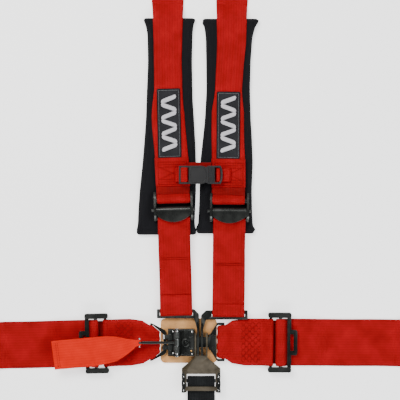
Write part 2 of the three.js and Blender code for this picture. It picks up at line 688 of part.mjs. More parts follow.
function subSide() {
  const line = lines.sub;
  const span = reach - Math.abs(line.y);
  const group = place(new THREE.Group(), line.x, line.y, line.turn);
  group.add(
    subLink(),
    slideBarPiece('sub_slide_bar', sub.inside + slideBar.inCheek, 0, slideBar.z),
    outerBelt('sub_belt', subWidth, 0, slideBar.z, span, 'blackWebbing', sub.tail),
    anchorSlide('sub_anchor_slide', subWidth, span),
    anchorBracket('sub_anchor_bracket', subWidth, span),
  );
  return group;
}

// ---- shoulders ----------------------------------------------------------------------------------
// The flat loop takes the belt; its neck turns up into an upright plate that the tongue passes through.
function shoulderLinkPiece(side) {
  const line = lines[`${side}Shoulder`];
  const l = shoulderLink;
  const s = side === 'left' ? 1 : -1;
  const neckX = linkX[side];
  const half = shoulderWidth / 2 + l.side;
  const outer = line.x - s * (half + l.arm);
  const neckOut = neckX + (s * upright.thick) / 2;
  const slotEnd = line.x + s * half;
  const slotLow = -l.bar / 2 - l.slot;
  const neckLow = l.foot - 10;
  const outline = rounded([
    [outer, l.bar / 2], [neckOut - s * l.run, l.bar / 2], [neckOut, l.bar / 2 - l.run], [neckOut, neckLow],
    [neckOut - s * upright.thick, neckLow], [neckOut - s * l.run, slotLow - l.arm - slack],
    [neckOut - s * 2 * l.run, slotLow - l.arm], [outer, slotLow - l.arm],
  ], l.side);
  const through = [l.z - over, l.z + l.thick + over];
  const slot = block([line.x - half, line.x + half], [slotLow, -l.bar / 2], through);
  const flat = cut(plate(outline, l.z, l.z + l.thick), slot);
  const [low, high] = [leather.thick + 2 * gap, upright.top];
  const mid = buckleY - line.y;
  const outerReach = Math.abs(outer);
  const standing = polygon([
    [mid - upright.half, low], [mid + upright.half + upright.toe, low],
    [l.foot, l.z], [l.foot, l.z + l.thick],
    [mid + upright.half - upright.nip, high], [mid - upright.half + upright.nip, high],
    [mid - upright.half, high - upright.nip],
  ]);
  const raised = new THREE.ExtrudeGeometry(standing, { depth: upright.thick, bevelEnabled: false });
  raised.applyMatrix4(new THREE.Matrix4().set(0, 0, 1, 0, 1, 0, 0, 0, 0, 1, 0, 0, 0, 0, 0, 1));
  raised.translate(neckX - upright.thick / 2, 0, 0);
  const room = block([-outerReach, outerReach], [mid - upright.windowHalf, mid + upright.windowHalf],
    [upright.windowLow, upright.windowHigh]);
  const piece = mesh(`${side}_shoulder_link`, join(flat, cut(solid(raised), room)), 'blackMetal');
  piece.position.y = line.y;
  return piece;
}

function lowerBelt(side) {
  const a = adjuster;
  const linkZ = shoulderLink.z + shoulderLink.thick / 2;
  const bar = a.at + a.lowerAt;
  const laid = onPad + webbing + slack;
  const whole = join(
    turn(0, linkZ, shoulderLink.eye, shoulderWidth),
    strap([
      [3, linkZ], [60, laid - 3.5], [112, laid], [bar - 16.6, laid], [bar - 3, a.lowerZ],
    ], doubled, shoulderWidth),
    turn(bar, a.lowerZ, a.lowerBar + gap, shoulderWidth),
  );
  return mesh(`${side}_shoulder_lower_belt`, cut(
    whole,
    crossBar(shoulderLink.eye, shoulderWidth, 0, linkZ, 16),
    crossBar(a.lowerBar + gap, shoulderWidth, bar, a.lowerZ),
  ), 'redWebbing');
}

function shoulderFrame(side) {
  const a = adjuster;
  const back = a.rollAt + a.back;
  const profile = rounded([[back - 4, a.low], [back, a.low + 7], [back - 9, a.top - 3], [4, a.top],
    [-8, a.top], [a.front, a.top - 6], [a.front, a.low]], a.corner);
  const cheeks = [-1, 1].map((s) => {
    const raise = { depth: a.cheek, bevelEnabled: false, curveSegments: 3 };
    const geometry = new THREE.ExtrudeGeometry(profile, raise);
    geometry.applyMatrix4(new THREE.Matrix4().set(0, 0, 1, 0, 1, 0, 0, 0, 0, 1, 0, 0, 0, 0, 0, 1));
    geometry.translate(s > 0 ? a.cheekIn : -a.cheekIn - a.cheek, 0, 0);
    return solid(geometry);
  });
  const frame = cut(
    join(...cheeks, crossBar(a.rollBar, a.cheekIn + over, a.rollAt, a.rollZ),
      crossBar(a.lowerBar, a.cheekIn + over, a.lowerAt, a.lowerZ)),
    crossBar(camLever.pin + gap, a.cheekIn + a.cheek + over, 0, camLever.z),
  );
  const piece = mesh(`${side}_shoulder_adjuster_frame`, frame, 'blackMetal');
  piece.position.y = a.at;
  return piece;
}

// A round body on the pin with a crescent lip over the belt.
function camLeverPiece(side) {
  const c = camLever;
  const half = adjuster.cheekIn - gap;
  const lip = new THREE.Shape();
  lip.moveTo(-half, 0);
  lip.lineTo(-half, -c.lipSide);
  lip.quadraticCurveTo(-half * c.lipBend, -c.lipDeep, 0, -c.lipDeep);
  lip.quadraticCurveTo(half * c.lipBend, -c.lipDeep, half, -c.lipSide);
  lip.lineTo(half, 0);
  lip.closePath();
  const shape = cut(
    join(crossBar(c.radius, half, 0, 0), plate(lip, c.lipZ - c.z, c.lipZ - c.z + c.lipThick, 5)),
    crossBar(c.pin + gap, half + 1, 0, 0),
  );
  const piece = mesh(`${side}_cam_lever`, shape, 'blackMetal');
  piece.position.set(0, adjuster.at, c.z);
  return piece;
}

function camPin(side) {
  const half = adjuster.cheekIn + adjuster.cheek + camLever.pinOut;
  const piece = mesh(`${side}_cam_lever_pin`, crossBar(camLever.pin, half, 0, 0), 'brightMetal');
  piece.position.set(0, adjuster.at, camLever.z);
  return piece;
}

function upperBelt(side, span) {
  const a = adjuster;
  const bar = a.at + a.rollAt;
  const laid = onPad + webbing + slack;
  const sewnEnd = sewn.from + sewn.length;
  const top = pad.to - lines[`${side}Shoulder`].y;
  const whole = join(
    turn(bar, a.rollZ, a.rollBar + gap, shoulderWidth),
    strap([[bar + 3, a.rollZ], [bar + 11, laid], [sewn.from + 3, laid]], doubled, shoulderWidth),
    block([-shoulderWidth / 2, shoulderWidth / 2], [sewn.from, sewnEnd], [onPad, onPad + sewn.thick]),
    strapEnd(shoulderWidth, [
      [sewnEnd - 2, onPad + webbing / 2], [top + 4, onPad + webbing / 2], [top + 26, webbing / 2],
    ], span),
  );
  return mesh(`${side}_shoulder_upper_belt`, cut(
    whole, crossBar(a.rollBar + gap, shoulderWidth, bar, a.rollZ), bracketRoom(shoulderWidth, span),
  ), 'redWebbing');
}

function shoulderPad(side) {
  const p = pad;
  const { x, turn: turned } = pads[side];
  const long = p.to - p.from;
  const outline = new THREE.Shape();
  outline.moveTo(-p.end - p.bulge + p.corner, 0);
  outline.lineTo(p.end + p.bulge - p.corner, 0);
  outline.quadraticCurveTo(p.end + p.bulge, 0, p.end + p.bulge, p.corner);
  outline.quadraticCurveTo(p.waist - p.waistIn, long * p.waistAt, p.end, long - p.corner);
  outline.quadraticCurveTo(p.end, long, p.end - p.corner, long);
  outline.lineTo(-p.end + p.corner, long);
  outline.quadraticCurveTo(-p.end, long, -p.end, long - p.corner);
  outline.quadraticCurveTo(-p.waist + p.waistIn, long * p.waistAt, -p.end - p.bulge, p.corner);
  outline.quadraticCurveTo(-p.end - p.bulge, 0, -p.end - p.bulge + p.corner, 0);
  const piece = mesh(`${side}_shoulder_pad`, plate(outline, 0, p.thick, 8), 'padFabric');
  return place(piece, x, p.from, turned);
}

function patchPiece(side) {
  const low = onPad + webbing + gap;
  const outline = rounded([[-patch.half, patch.at], [patch.half, patch.at],
    [patch.half, patch.at + patch.length], [-patch.half, patch.at + patch.length]], patch.corner);
  return mesh(`${side}_pad_patch`, plate(outline, low, low + patch.thick), 'patchFabric');
}

function shoulderSide(side) {
  const line = lines[`${side}Shoulder`];
  const span = (reach - line.y) / Math.cos(deg(line.turn));
  const group = place(new THREE.Group(), line.x, line.y, line.turn);
  group.add(
    lowerBelt(side), shoulderFrame(side), camLeverPiece(side), camPin(side), upperBelt(side, span),
    patchPiece(side),
    anchorSlide(`${side}_shoulder_anchor_slide`, shoulderWidth, span),
    anchorBracket(`${side}_shoulder_anchor_bracket`, shoulderWidth, span),
  );
  return [group, shoulderLinkPiece(side), shoulderPad(side)];
}

// ---- chest strap --------------------------------------------------------------------------------
// A hollow shell open towards the plug, with side windows, and a two-bar frame for its strap.
function socket() {
  const c = chest;
  const z = [c.low, chest.top];
  const inside = [c.low + c.wall, chest.top - c.wall];
  const bars = [chest.mid - c.barHalf, chest.mid + c.barHalf];
  const rails = [-1, 1].map((s) => {
    const y = sorted([s * (c.half - c.rail), s * c.half]);
    return block([c.frameEnd, c.left + over], y, [chest.mid - c.railHalf, chest.mid + c.railHalf]);
  });
  const body = cut(
    block([c.left, c.right], [-c.half, c.half], z),
    block([c.left + 4, c.right + over], [-c.half + c.wall, c.half - c.wall], inside),
    block([c.right - arm.reach - over, c.right + over], [-c.half - over, c.half + over], inside),
    ...[-1, 1].map((s) => (
      stud(c.notch, c.right - c.notchIn, s * (c.half + c.notchOut), z[0] - over, z[1] + over)
    )),
  );
  return mesh('chest_buckle_socket', join(
    body, ...rails,
    block([c.frameEnd, c.frameEnd + c.outerBar], [over - c.half, c.half - over], bars),
    alongY(c.barRadius, c.barAt, chest.mid, over - c.half, c.half - over, 16),
  ), 'blackPlastic');
}

function plugPiece() {
  const c = chest;
  const from = c.right + gap;
  const z = [c.low, chest.top];
  const rails = [-1, 1].map((s) => {
    const y = sorted([s * (c.half - c.rail), s * c.half]);
    return block([from + plug.body - over, plug.end], y, [c.low + plug.railIn, chest.top - plug.railIn]);
  });
  const guide = block([from - plug.reach, from + over], [-plug.tongueHalf, plug.tongueHalf],
    [chest.mid - plug.thick / 2, chest.mid + plug.thick / 2]);
  return mesh('chest_buckle_plug', join(
    block([from, from + plug.body], [-c.half, c.half], z), guide, ...rails,
    alongY(c.barRadius, plug.barAt, chest.mid - plug.barDrop, over - c.half, c.half - over, 16),
  ), 'blackPlastic');
}

// A springy side arm with a thumb pad in the socket's window, in its own frame with its root at x = 0.
function releaseArm(name, side) {
  const [inner, outer] = [arm.root - arm.thick / 2, arm.root + arm.thick / 2];
  const outline = polygon([
    [0, inner], [0, outer], [-3, outer], [-7, chest.half - 0.4], [-13, chest.half - 0.4],
    [-arm.reach + 1, outer], [-arm.reach, inner + 1], [-arm.reach + 1, inner],
  ].map(([x, y]) => [x, side * y]));
  const z = [chest.mid - arm.high / 2, chest.mid + arm.high / 2];
  const piece = mesh(name, plate(outline, ...z), 'blackPlastic');
  piece.position.x = chest.right;
  return piece;
}

function chestStrap(name, barX, barZ, from, to) {
  const low = chest.strapLow;
  const inner = chest.barRadius + gap + 0.2;
  const slopeEnd = barX + Math.sign(from - barX) * chest.slope;
  const strip = block(sorted([from, to]), [-chest.strapHalf, chest.strapHalf], [low, low + chest.strap]);
  const eye = alongY(inner + chest.strap, barX, barZ, -chest.strapHalf, chest.strapHalf);
  const run = new THREE.Shape([
    [barX, barZ - inner - chest.strap], [barX, barZ - inner], [slopeEnd, low + chest.strap], [slopeEnd, low],
  ].map(([x, y]) => new THREE.Vector2(x, y)));
  const slope = new THREE.ExtrudeGeometry(run, { depth: 2 * chest.strapHalf, bevelEnabled: false });
  slope.rotateX(Math.PI / 2);
  slope.translate(0, chest.strapHalf, 0);
  const room = alongY(inner, barX, barZ, -chest.half, chest.half);
  return mesh(name, cut(join(strip, eye, solid(slope)), room), 'redWebbing');
}

function chestGroup() {
  const group = new THREE.Group();
  group.position.y = chest.y;
  group.add(
    socket(), plugPiece(), releaseArm('release_arm_upper', 1), releaseArm('release_arm_lower', -1),
    chestStrap('left_chest_strap', chest.barAt, chest.mid, chest.strapFrom, chest.strapTo),
    chestStrap('right_chest_strap', plug.barAt, chest.mid - plug.barDrop, chest.farEnd, plug.barAt + 6),
  );
  return group;
}

// ---- the harness --------------------------------------------------------------------------------
const harness = new THREE.Group();
harness.add(
  buckle(), lapSide('left'), lapSide('right'), subSide(), ...shoulderSide('left'), ...shoulderSide('right'),
  chestGroup(),
);

export default harness;
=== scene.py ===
import json
from math import atan2, cos, pi, radians, sin

import bmesh
import bpy
import numpy as np
from mathutils.bvhtree import BVHTree
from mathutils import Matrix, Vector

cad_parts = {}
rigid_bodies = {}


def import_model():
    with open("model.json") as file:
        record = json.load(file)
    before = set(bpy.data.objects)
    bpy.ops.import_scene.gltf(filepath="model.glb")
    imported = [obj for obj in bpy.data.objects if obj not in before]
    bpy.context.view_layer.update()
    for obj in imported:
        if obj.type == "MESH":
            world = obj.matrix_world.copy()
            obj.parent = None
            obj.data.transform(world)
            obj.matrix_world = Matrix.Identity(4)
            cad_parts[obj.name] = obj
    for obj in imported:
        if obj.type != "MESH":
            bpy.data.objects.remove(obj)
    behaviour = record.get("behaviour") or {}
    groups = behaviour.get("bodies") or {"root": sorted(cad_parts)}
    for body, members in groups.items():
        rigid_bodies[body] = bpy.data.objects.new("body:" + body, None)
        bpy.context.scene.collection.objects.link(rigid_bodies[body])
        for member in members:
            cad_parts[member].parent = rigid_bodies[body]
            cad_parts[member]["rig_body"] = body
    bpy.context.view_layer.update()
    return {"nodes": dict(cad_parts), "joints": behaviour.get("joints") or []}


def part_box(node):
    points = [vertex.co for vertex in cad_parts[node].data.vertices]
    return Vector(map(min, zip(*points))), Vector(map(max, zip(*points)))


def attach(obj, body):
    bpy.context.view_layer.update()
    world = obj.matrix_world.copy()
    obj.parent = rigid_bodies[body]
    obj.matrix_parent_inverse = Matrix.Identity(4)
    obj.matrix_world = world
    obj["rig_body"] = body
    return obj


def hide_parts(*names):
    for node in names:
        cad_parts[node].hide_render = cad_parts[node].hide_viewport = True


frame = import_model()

scene = bpy.context.scene
mm = 0.001
joints = {joint["name"]: joint for joint in frame["joints"]}

# The camera is straight above the harness, far away with a long lens.
cameraSettings = {"view": 0.648, "lens": 135.0, "sensor": 36.0, "subjectHeight": 0.012}
cameraData = bpy.data.cameras.new("camera")
cameraData.lens = cameraSettings["lens"]
cameraData.sensor_width = cameraSettings["sensor"]
camera = bpy.data.objects.new("camera", cameraData)
scene.collection.objects.link(camera)
distance = cameraSettings["view"] * cameraSettings["lens"] / cameraSettings["sensor"]
camera.location = (0, 0, distance + cameraSettings["subjectHeight"])
cameraData.clip_end = 20
scene.camera = camera
print("camera ready")


# One shader node: its inputs are set, or linked where a socket is given.
def addNode(tree, kind, inputs=None, **settings):
    made = tree.nodes.new(kind)
    for key, value in settings.items():
        setattr(made, key, value)
    for key, value in (inputs or {}).items():
        if isinstance(value, bpy.types.NodeSocket):
            tree.links.new(value, made.inputs[key])
        else:
            made.inputs[key].default_value = value
    return made


def maths(tree, operation, a, b=0.0):
    return addNode(tree, "ShaderNodeMath", {0: a, 1: b}, operation=operation).outputs[0]


def ramp(tree, value, stops):
    made = addNode(tree, "ShaderNodeValToRGB", {"Fac": value})
    for index, (place, colour) in enumerate(stops):
        stop = made.color_ramp.elements[index] if index < 2 else made.color_ramp.elements.new(place)
        stop.position = place
        stop.color = (*colour, 1.0)
    return made.outputs["Color"]


def noiseAt(tree, vector, scale, detail=3.0, rough=0.5):
    inputs = {"Vector": vector, "Scale": scale, "Detail": detail, "Roughness": rough}
    return addNode(tree, "ShaderNodeTexNoise", inputs).outputs["Fac"]


# The middle of a noise, 0.3 to 0.7, stretched to run from low to high.
def spread(tree, value, low, high):
    inputs = {"Value": value, "From Min": 0.3, "From Max": 0.7, "To Min": low, "To Max": high}
    return addNode(tree, "ShaderNodeMapRange", inputs).outputs["Result"]


def newMaterial(name, **constants):
    made = bpy.data.materials.new(name)
    made.use_nodes = True
    shader = made.node_tree.nodes["Principled BSDF"]
    for key, value in constants.items():
        shader.inputs[key].default_value = value
    return made, made.node_tree, shader


# Colour, roughness and bump go into the shader together.
def dress(tree, shader, colour, rough, height, strength, depth):
    tree.links.new(colour, shader.inputs["Base Color"])
    tree.links.new(rough, shader.inputs["Roughness"])
    bump = addNode(tree, "ShaderNodeBump", {"Height": height, "Strength": strength, "Distance": depth})
    tree.links.new(bump.outputs["Normal"], shader.inputs["Normal"])


# Woven cloth on the piece's own UV map, which is in metres: a rib across times a rib along, with a
# diagonal that flips every few ribs, as in herringbone webbing.
def wovenCloth(name, colours, rib=0.0013, pick=0.0011, bump=0.6, rough=(0.6, 0.8), sheen=0.03):
    made, tree, shader = newMaterial(name, **{"Sheen Weight": sheen, "Sheen Roughness": 0.4,
                                              "Specular IOR Level": 0.1})
    uv = addNode(tree, "ShaderNodeTexCoord").outputs["UV"]
    parts = addNode(tree, "ShaderNodeSeparateXYZ", {0: uv}).outputs
    flip = maths(tree, "PINGPONG", parts[0], rib * 4)
    warp = maths(tree, "SINE", maths(tree, "MULTIPLY", parts[0], 2 * pi / rib))
    slant = maths(tree, "ADD", parts[1], maths(tree, "MULTIPLY", flip, 0.9))
    weft = maths(tree, "SINE", maths(tree, "MULTIPLY", slant, 2 * pi / pick))
    weave = maths(tree, "ADD", maths(tree, "MULTIPLY", warp, 0.5), maths(tree, "MULTIPLY", weft, 0.6))
    cloud = noiseAt(tree, uv, 35.0, 4.0)
    fibre = noiseAt(tree, uv, 900.0, 2.0)
    # The weave also darkens the colour where its ribs dip: painted shade in the valleys of the weave, mixed
    # with cloud and fibre tone.
    mixed = maths(tree, "ADD", maths(tree, "MULTIPLY", weave, 0.16), maths(tree, "MULTIPLY", cloud, 0.75))
    mixed = maths(tree, "ADD", mixed, maths(tree, "MULTIPLY", fibre, 0.2))
    cord = maths(tree, "SINE", maths(tree, "MULTIPLY", parts[0], 2 * pi / (rib * 3.2)))
    mixed = maths(tree, "ADD", mixed, maths(tree, "MULTIPLY", cord, 0.05))
    colour = ramp(tree, mixed, [(0.2, colours[0]), (0.8, colours[2]), (0.5, colours[1])])
    dress(tree, shader, colour, spread(tree, fibre, *rough), weave, bump, 0.00025)
    return made


# Padded shell cloth on Object coordinates: a fine cell pattern with soft lint.
def shellCloth(name, colours, scale=620.0, sheen=0.04):
    made, tree, shader = newMaterial(name, **{"Sheen Weight": sheen, "Sheen Roughness": 0.55,
                                              "Specular IOR Level": 0.08})
    place = addNode(tree, "ShaderNodeTexCoord").outputs["Object"]
    cells = addNode(tree, "ShaderNodeTexVoronoi", {"Vector": place, "Scale": scale, "Randomness": 0.35})
    lint = noiseAt(tree, place, 90.0, 6.0, 0.7)
    mixed = maths(tree, "ADD", maths(tree, "MULTIPLY", cells.outputs["Distance"], 0.5),
                  maths(tree, "MULTIPLY", lint, 0.7))
    colour = ramp(tree, mixed, [(0.25, colours[0]), (0.85, colours[1])])
    dress(tree, shader, colour, spread(tree, lint, 0.75, 0.95), cells.outputs["Distance"], 0.5, 0.0004)
    return made


# Coated metal: cloudy gloss, fine scratches and pale wear where edges turn.
def coatedMetal(name, colours, metallic, rough, wear=0.35):
    made, tree, shader = newMaterial(name, **{"Metallic": metallic, "Specular IOR Level": 0.55,
                                              "Coat Weight": 0.15, "Coat Roughness": 0.2})
    place = addNode(tree, "ShaderNodeTexCoord").outputs["Object"]
    cloud = noiseAt(tree, place, 60.0, 5.0)
    stretched = addNode(tree, "ShaderNodeMapping", {"Vector": place, "Scale": (1.0, 0.12, 1.0)}).outputs[0]
    scratch = noiseAt(tree, stretched, 1500.0, 2.0)
    edge = addNode(tree, "ShaderNodeNewGeometry").outputs["Pointiness"]
    worn = addNode(tree, "ShaderNodeMapRange", {"Value": edge, "From Min": 0.53, "From Max": 0.6,
                                                "To Min": 0.0, "To Max": wear}).outputs["Result"]
    worn = maths(tree, "MULTIPLY", worn, cloud)
    plain = ramp(tree, cloud, [(0.3, colours[0]), (0.7, colours[1])])
    mix = addNode(tree, "ShaderNodeMix", {0: worn, 6: plain, 7: (*colours[2], 1.0)}, data_type="RGBA")
    both = maths(tree, "ADD", maths(tree, "MULTIPLY", cloud, 0.6), maths(tree, "MULTIPLY", scratch, 0.4))
    dress(tree, shader, mix.outputs[2], spread(tree, both, *rough), both, 0.12, 0.0001)
    return made


# Vegetable-tanned hide: small pores and larger clouds.
def hide(name, colours):
    made, tree, shader = newMaterial(name, **{"Specular IOR Level": 0.4})
    place = addNode(tree, "ShaderNodeTexCoord").outputs["Object"]
    pores = addNode(tree, "ShaderNodeTexVoronoi", {"Vector": place, "Scale": 900.0}).outputs["Distance"]
    cloud = noiseAt(tree, place, 45.0, 6.0, 0.6)
    mixed = maths(tree, "ADD", maths(tree, "MULTIPLY", cloud, 0.9), maths(tree, "MULTIPLY", pores, 0.12))
    colour = ramp(tree, mixed, [(0.3, colours[0]), (0.75, colours[2]), (0.55, colours[1])])
    dress(tree, shader, colour, spread(tree, cloud, 0.5, 0.7), maths(tree, "ADD", pores, cloud), 0.35, 0.0003)
    return made


# Moulded plastic with a spark-eroded grain.
def mouldedPlastic(name, colours):
    made, tree, shader = newMaterial(name, **{"Specular IOR Level": 0.45})
    place = addNode(tree, "ShaderNodeTexCoord").outputs["Object"]
    grain = noiseAt(tree, place, 2200.0, 2.0)
    cloud = noiseAt(tree, place, 80.0, 4.0)
    colour = ramp(tree, cloud, [(0.3, colours[0]), (0.7, colours[1])])
    dress(tree, shader, colour, spread(tree, grain, 0.38, 0.55), grain, 0.25, 0.0001)
    return made


redWebbing = wovenCloth("redWebbing", [(0.2, 0.0008, 0.002), (0.31, 0.0012, 0.0035), (0.45, 0.003, 0.007)])
# A darker copy of the red webbing, used as painted shade: it stands for the same red webbing where it lies in
# shadow.
paintedShadeRed = wovenCloth("paintedShadeRedWebbing", [(0.12, 0.0012, 0.002), (0.2, 0.002, 0.003), (0.3, 0.004, 0.005)])
blackWebbing = wovenCloth("blackWebbing",
                          [(0.003, 0.0035, 0.004), (0.008, 0.0088, 0.0095), (0.02, 0.022, 0.023)])
orangeStrap = wovenCloth("orangeStrap", [(0.5, 0.006, 0.0004), (0.66, 0.011, 0.0008), (0.8, 0.022, 0.002)])
threadPly = 0.0004  # twist of a sewing thread
redThread = wovenCloth("redThread", [(0.1, 0.0012, 0.002), (0.15, 0.002, 0.003), (0.24, 0.004, 0.005)],
                       threadPly, threadPly)
paleThread = wovenCloth("paleThread", [(0.5, 0.48, 0.52), (0.62, 0.6, 0.64), (0.75, 0.73, 0.77)],
                        threadPly, threadPly)
greyThread = wovenCloth("greyThread", [(0.16, 0.16, 0.17), (0.24, 0.24, 0.25), (0.32, 0.32, 0.33)],
                        threadPly, threadPly)
padCloth = shellCloth("padCloth", [(0.003, 0.003, 0.004), (0.009, 0.009, 0.011)])
patchCloth = wovenCloth("patchCloth", [(0.012, 0.012, 0.014), (0.02, 0.02, 0.023), (0.034, 0.034, 0.038)],
                        0.0007, 0.0007, 0.5)
bindingTape = wovenCloth("bindingTape", [(0.005, 0.005, 0.006), (0.01, 0.01, 0.012), (0.022, 0.022, 0.025)],
                         0.0008, 0.0009)
tanHide = hide("tanHide", [(0.46, 0.2, 0.06), (0.66, 0.33, 0.115), (0.78, 0.43, 0.18)])
blackSteel = coatedMetal("blackSteel", [(0.008, 0.009, 0.008), (0.016, 0.017, 0.015), (0.2, 0.21, 0.2)], 0.7,
                         (0.2, 0.4), 0.6)
bronzeSteel = coatedMetal("bronzeSteel", [(0.09, 0.07, 0.04), (0.17, 0.135, 0.085), (0.5, 0.45, 0.38)], 0.9,
                          (0.25, 0.42))
zincSteel = coatedMetal("zincSteel", [(0.5, 0.5, 0.49), (0.66, 0.66, 0.65), (0.85, 0.85, 0.85)], 1.0,
                        (0.18, 0.35))
brassMetal = coatedMetal("brassMetal", [(0.45, 0.22, 0.06), (0.62, 0.33, 0.1), (0.8, 0.6, 0.3)], 1.0,
                          (0.2, 0.35))
blackPlastic = mouldedPlastic("blackPlastic", [(0.003, 0.003, 0.0035), (0.007, 0.0065, 0.0075)])
print("materials ready")


# A mesh from points in metres, with its UV map when it has one, riding on its body.
def finish(name, vertices, faces, material, body, uv=None, smooth=True):
    data = bpy.data.meshes.new(name)
    data.from_pydata(vertices.tolist(), [], faces)
    data.validate()
    if uv is not None:
        layer = data.uv_layers.new(name="weave")
        corners = np.empty(len(data.loops), np.int32)
        data.loops.foreach_get("vertex_index", corners)
        layer.data.foreach_set("uv", uv[corners].astype(np.float32).ravel())
    data.polygons.foreach_set("use_smooth", [smooth] * len(data.polygons))
    made = bpy.data.objects.new(name, data)
    scene.collection.objects.link(made)
    data.materials.append(material)
    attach(made, body)
    return made


# Quads between the rows of a grid: each row joins the next, and round the ring when closed.
def gridFaces(rows, columns, ring=True, loop=False, start=0):
    r = np.arange(rows if loop else rows - 1)[:, None]
    c = np.arange(columns if ring else columns - 1)[None, :]
    a = r * columns + c
    b = r * columns + (c + 1) % columns
    d = ((r + 1) % rows) * columns + c
    e = ((r + 1) % rows) * columns + (c + 1) % columns
    return (np.stack([a, b, e, d], axis=-1).reshape(-1, 4) + start).tolist()


# Even spacing along a line of points, with corners eased by a short moving average.
def evenLine(points, step, ease):
    points = np.asarray(points, float)
    gaps = np.linalg.norm(np.diff(points, axis=0), axis=1)
    points = points[np.concatenate([[True], gaps > 1e-7])]
    runs = np.concatenate([[0], np.cumsum(np.linalg.norm(np.diff(points, axis=0), axis=1))])
    count = max(int(runs[-1] / step), 4)
    at = np.linspace(0, runs[-1], count + 1)
    even = np.stack([np.interp(at, runs, points[:, k]) for k in range(points.shape[1])], axis=1)
    for _ in range(ease):
        even[1:-1] = (even[:-2] + 2 * even[1:-1] + even[2:]) / 4
    return even


# An arc in (w, z): points on a circle from one angle to another, in degrees.
def arc(w, z, radius, start, end, count=14):
    turnBy = np.radians(np.linspace(start, end, count))
    return [(w + radius * cos(t), z + radius * sin(t)) for t in turnBy]


# Webbing: a thin rounded section carried along a path of (w, z) points. Across the section the height is
# half the thickness times a steep falling edge, so the selvedges are round; a slow sine lifts and drops
# the faces a little, and gather adds lengthwise folds where the belt is squeezed narrow.
def webbing(name, line, path, width, thick, material, body, gather=0.0, seed=0, step=1.6, ease=3, wander=0.12,
            shift=None, bow=0.0):
    path = evenLine(path, step, ease)
    wide = width(path[:, 0]) if callable(width) else np.full(len(path), float(width))
    centre = line.place(path[:, 0], path[:, 1])
    if shift is not None:
        centre = centre + shift(path[:, 0])[:, None] * line.across
    forward = np.gradient(centre, axis=0)
    forward /= np.linalg.norm(forward, axis=1)[:, None]
    up = np.cross(line.across, forward)
    run = np.concatenate([[0], np.cumsum(np.linalg.norm(np.diff(centre, axis=0), axis=1))])
    rng = np.random.default_rng(seed)
    phase = rng.uniform(0, 2 * pi, 4)
    half = 24
    t = np.linspace(-1, 1, half)
    edge = np.sqrt(np.clip(1 - np.abs(t) ** 14, 0, 1)) * 0.9 + 0.1
    ripple = wander * (np.sin(run[:, None] / 23 + 2.1 * t[None, :] + phase[0])
                       + 0.6 * np.sin(run[:, None] / 9.5 - 3.2 * t[None, :] + phase[1]))
    squeeze = np.clip(1 - wide / wide.max(), 0, 1)[:, None]
    folds = gather * squeeze * np.cos(t[None, :] * pi * 3.2 + phase[2])
    crown = bow * (1 - t[None, :] ** 2)
    lift = ripple + folds + crown
    selvedge = 0.18 * np.sin(run / 17 + phase[3])
    u = t[None, :] * (wide / 2)[:, None] + selvedge[:, None]
    top = centre[:, None] + u[..., None] * line.across + (lift + thick / 2 * edge)[..., None] * up[:, None]
    low = centre[:, None] + u[..., None] * line.across + (lift - thick / 2 * edge)[..., None] * up[:, None]
    ring = np.concatenate([top, low[:, ::-1]], axis=1)
    uvAcross = np.concatenate([t, t[::-1]])[None, :] * (wide / 2)[:, None]
    uv = np.stack([uvAcross, np.repeat(run[:, None], 2 * half, axis=1)], axis=-1).reshape(-1, 2) * mm
    rows, columns = ring.shape[:2]
    faces = [face[::-1] for face in gridFaces(rows, columns)]
    first = list(range(columns))
    last = [(rows - 1) * columns + k for k in range(columns)][::-1]
    return finish(name, ring.reshape(-1, 3) * mm, faces + [first, last], material, body, uv)


# A round tube along a path: a circle in the plane square to the path at each point.
def tube(name, path, radius, material, body, sides=10, closed=False):
    path = np.asarray(path, float)
    ahead = np.roll(path, -1, axis=0) - np.roll(path, 1, axis=0) if closed else np.gradient(path, axis=0)
    ahead /= np.linalg.norm(ahead, axis=1)[:, None]
    guide = np.where(np.abs(ahead[:, 2:3]) > 0.9, [[1.0, 0, 0]], [[0, 0, 1.0]])
    side = np.cross(ahead, guide)
    side /= np.linalg.norm(side, axis=1)[:, None]
    over = np.cross(side, ahead)
    t = np.linspace(0, 2 * pi, sides, endpoint=False)
    ring = path[:, None] + radius * (np.cos(t)[None, :, None] * side[:, None]
                                     + np.sin(t)[None, :, None] * over[:, None])
    run = np.concatenate([[0], np.cumsum(np.linalg.norm(np.diff(path, axis=0), axis=1))])
    uv = np.stack(np.broadcast_arrays((t * radius)[None, :], run[:, None]), axis=-1).reshape(-1, 2) * mm
    faces = [face[::-1] for face in gridFaces(len(path), sides, True, closed)]
    if not closed:
        faces += [list(range(sides)), [(len(path) - 1) * sides + k for k in range(sides)][::-1]]
    return finish(name, ring.reshape(-1, 3) * mm, faces, material, body, uv)


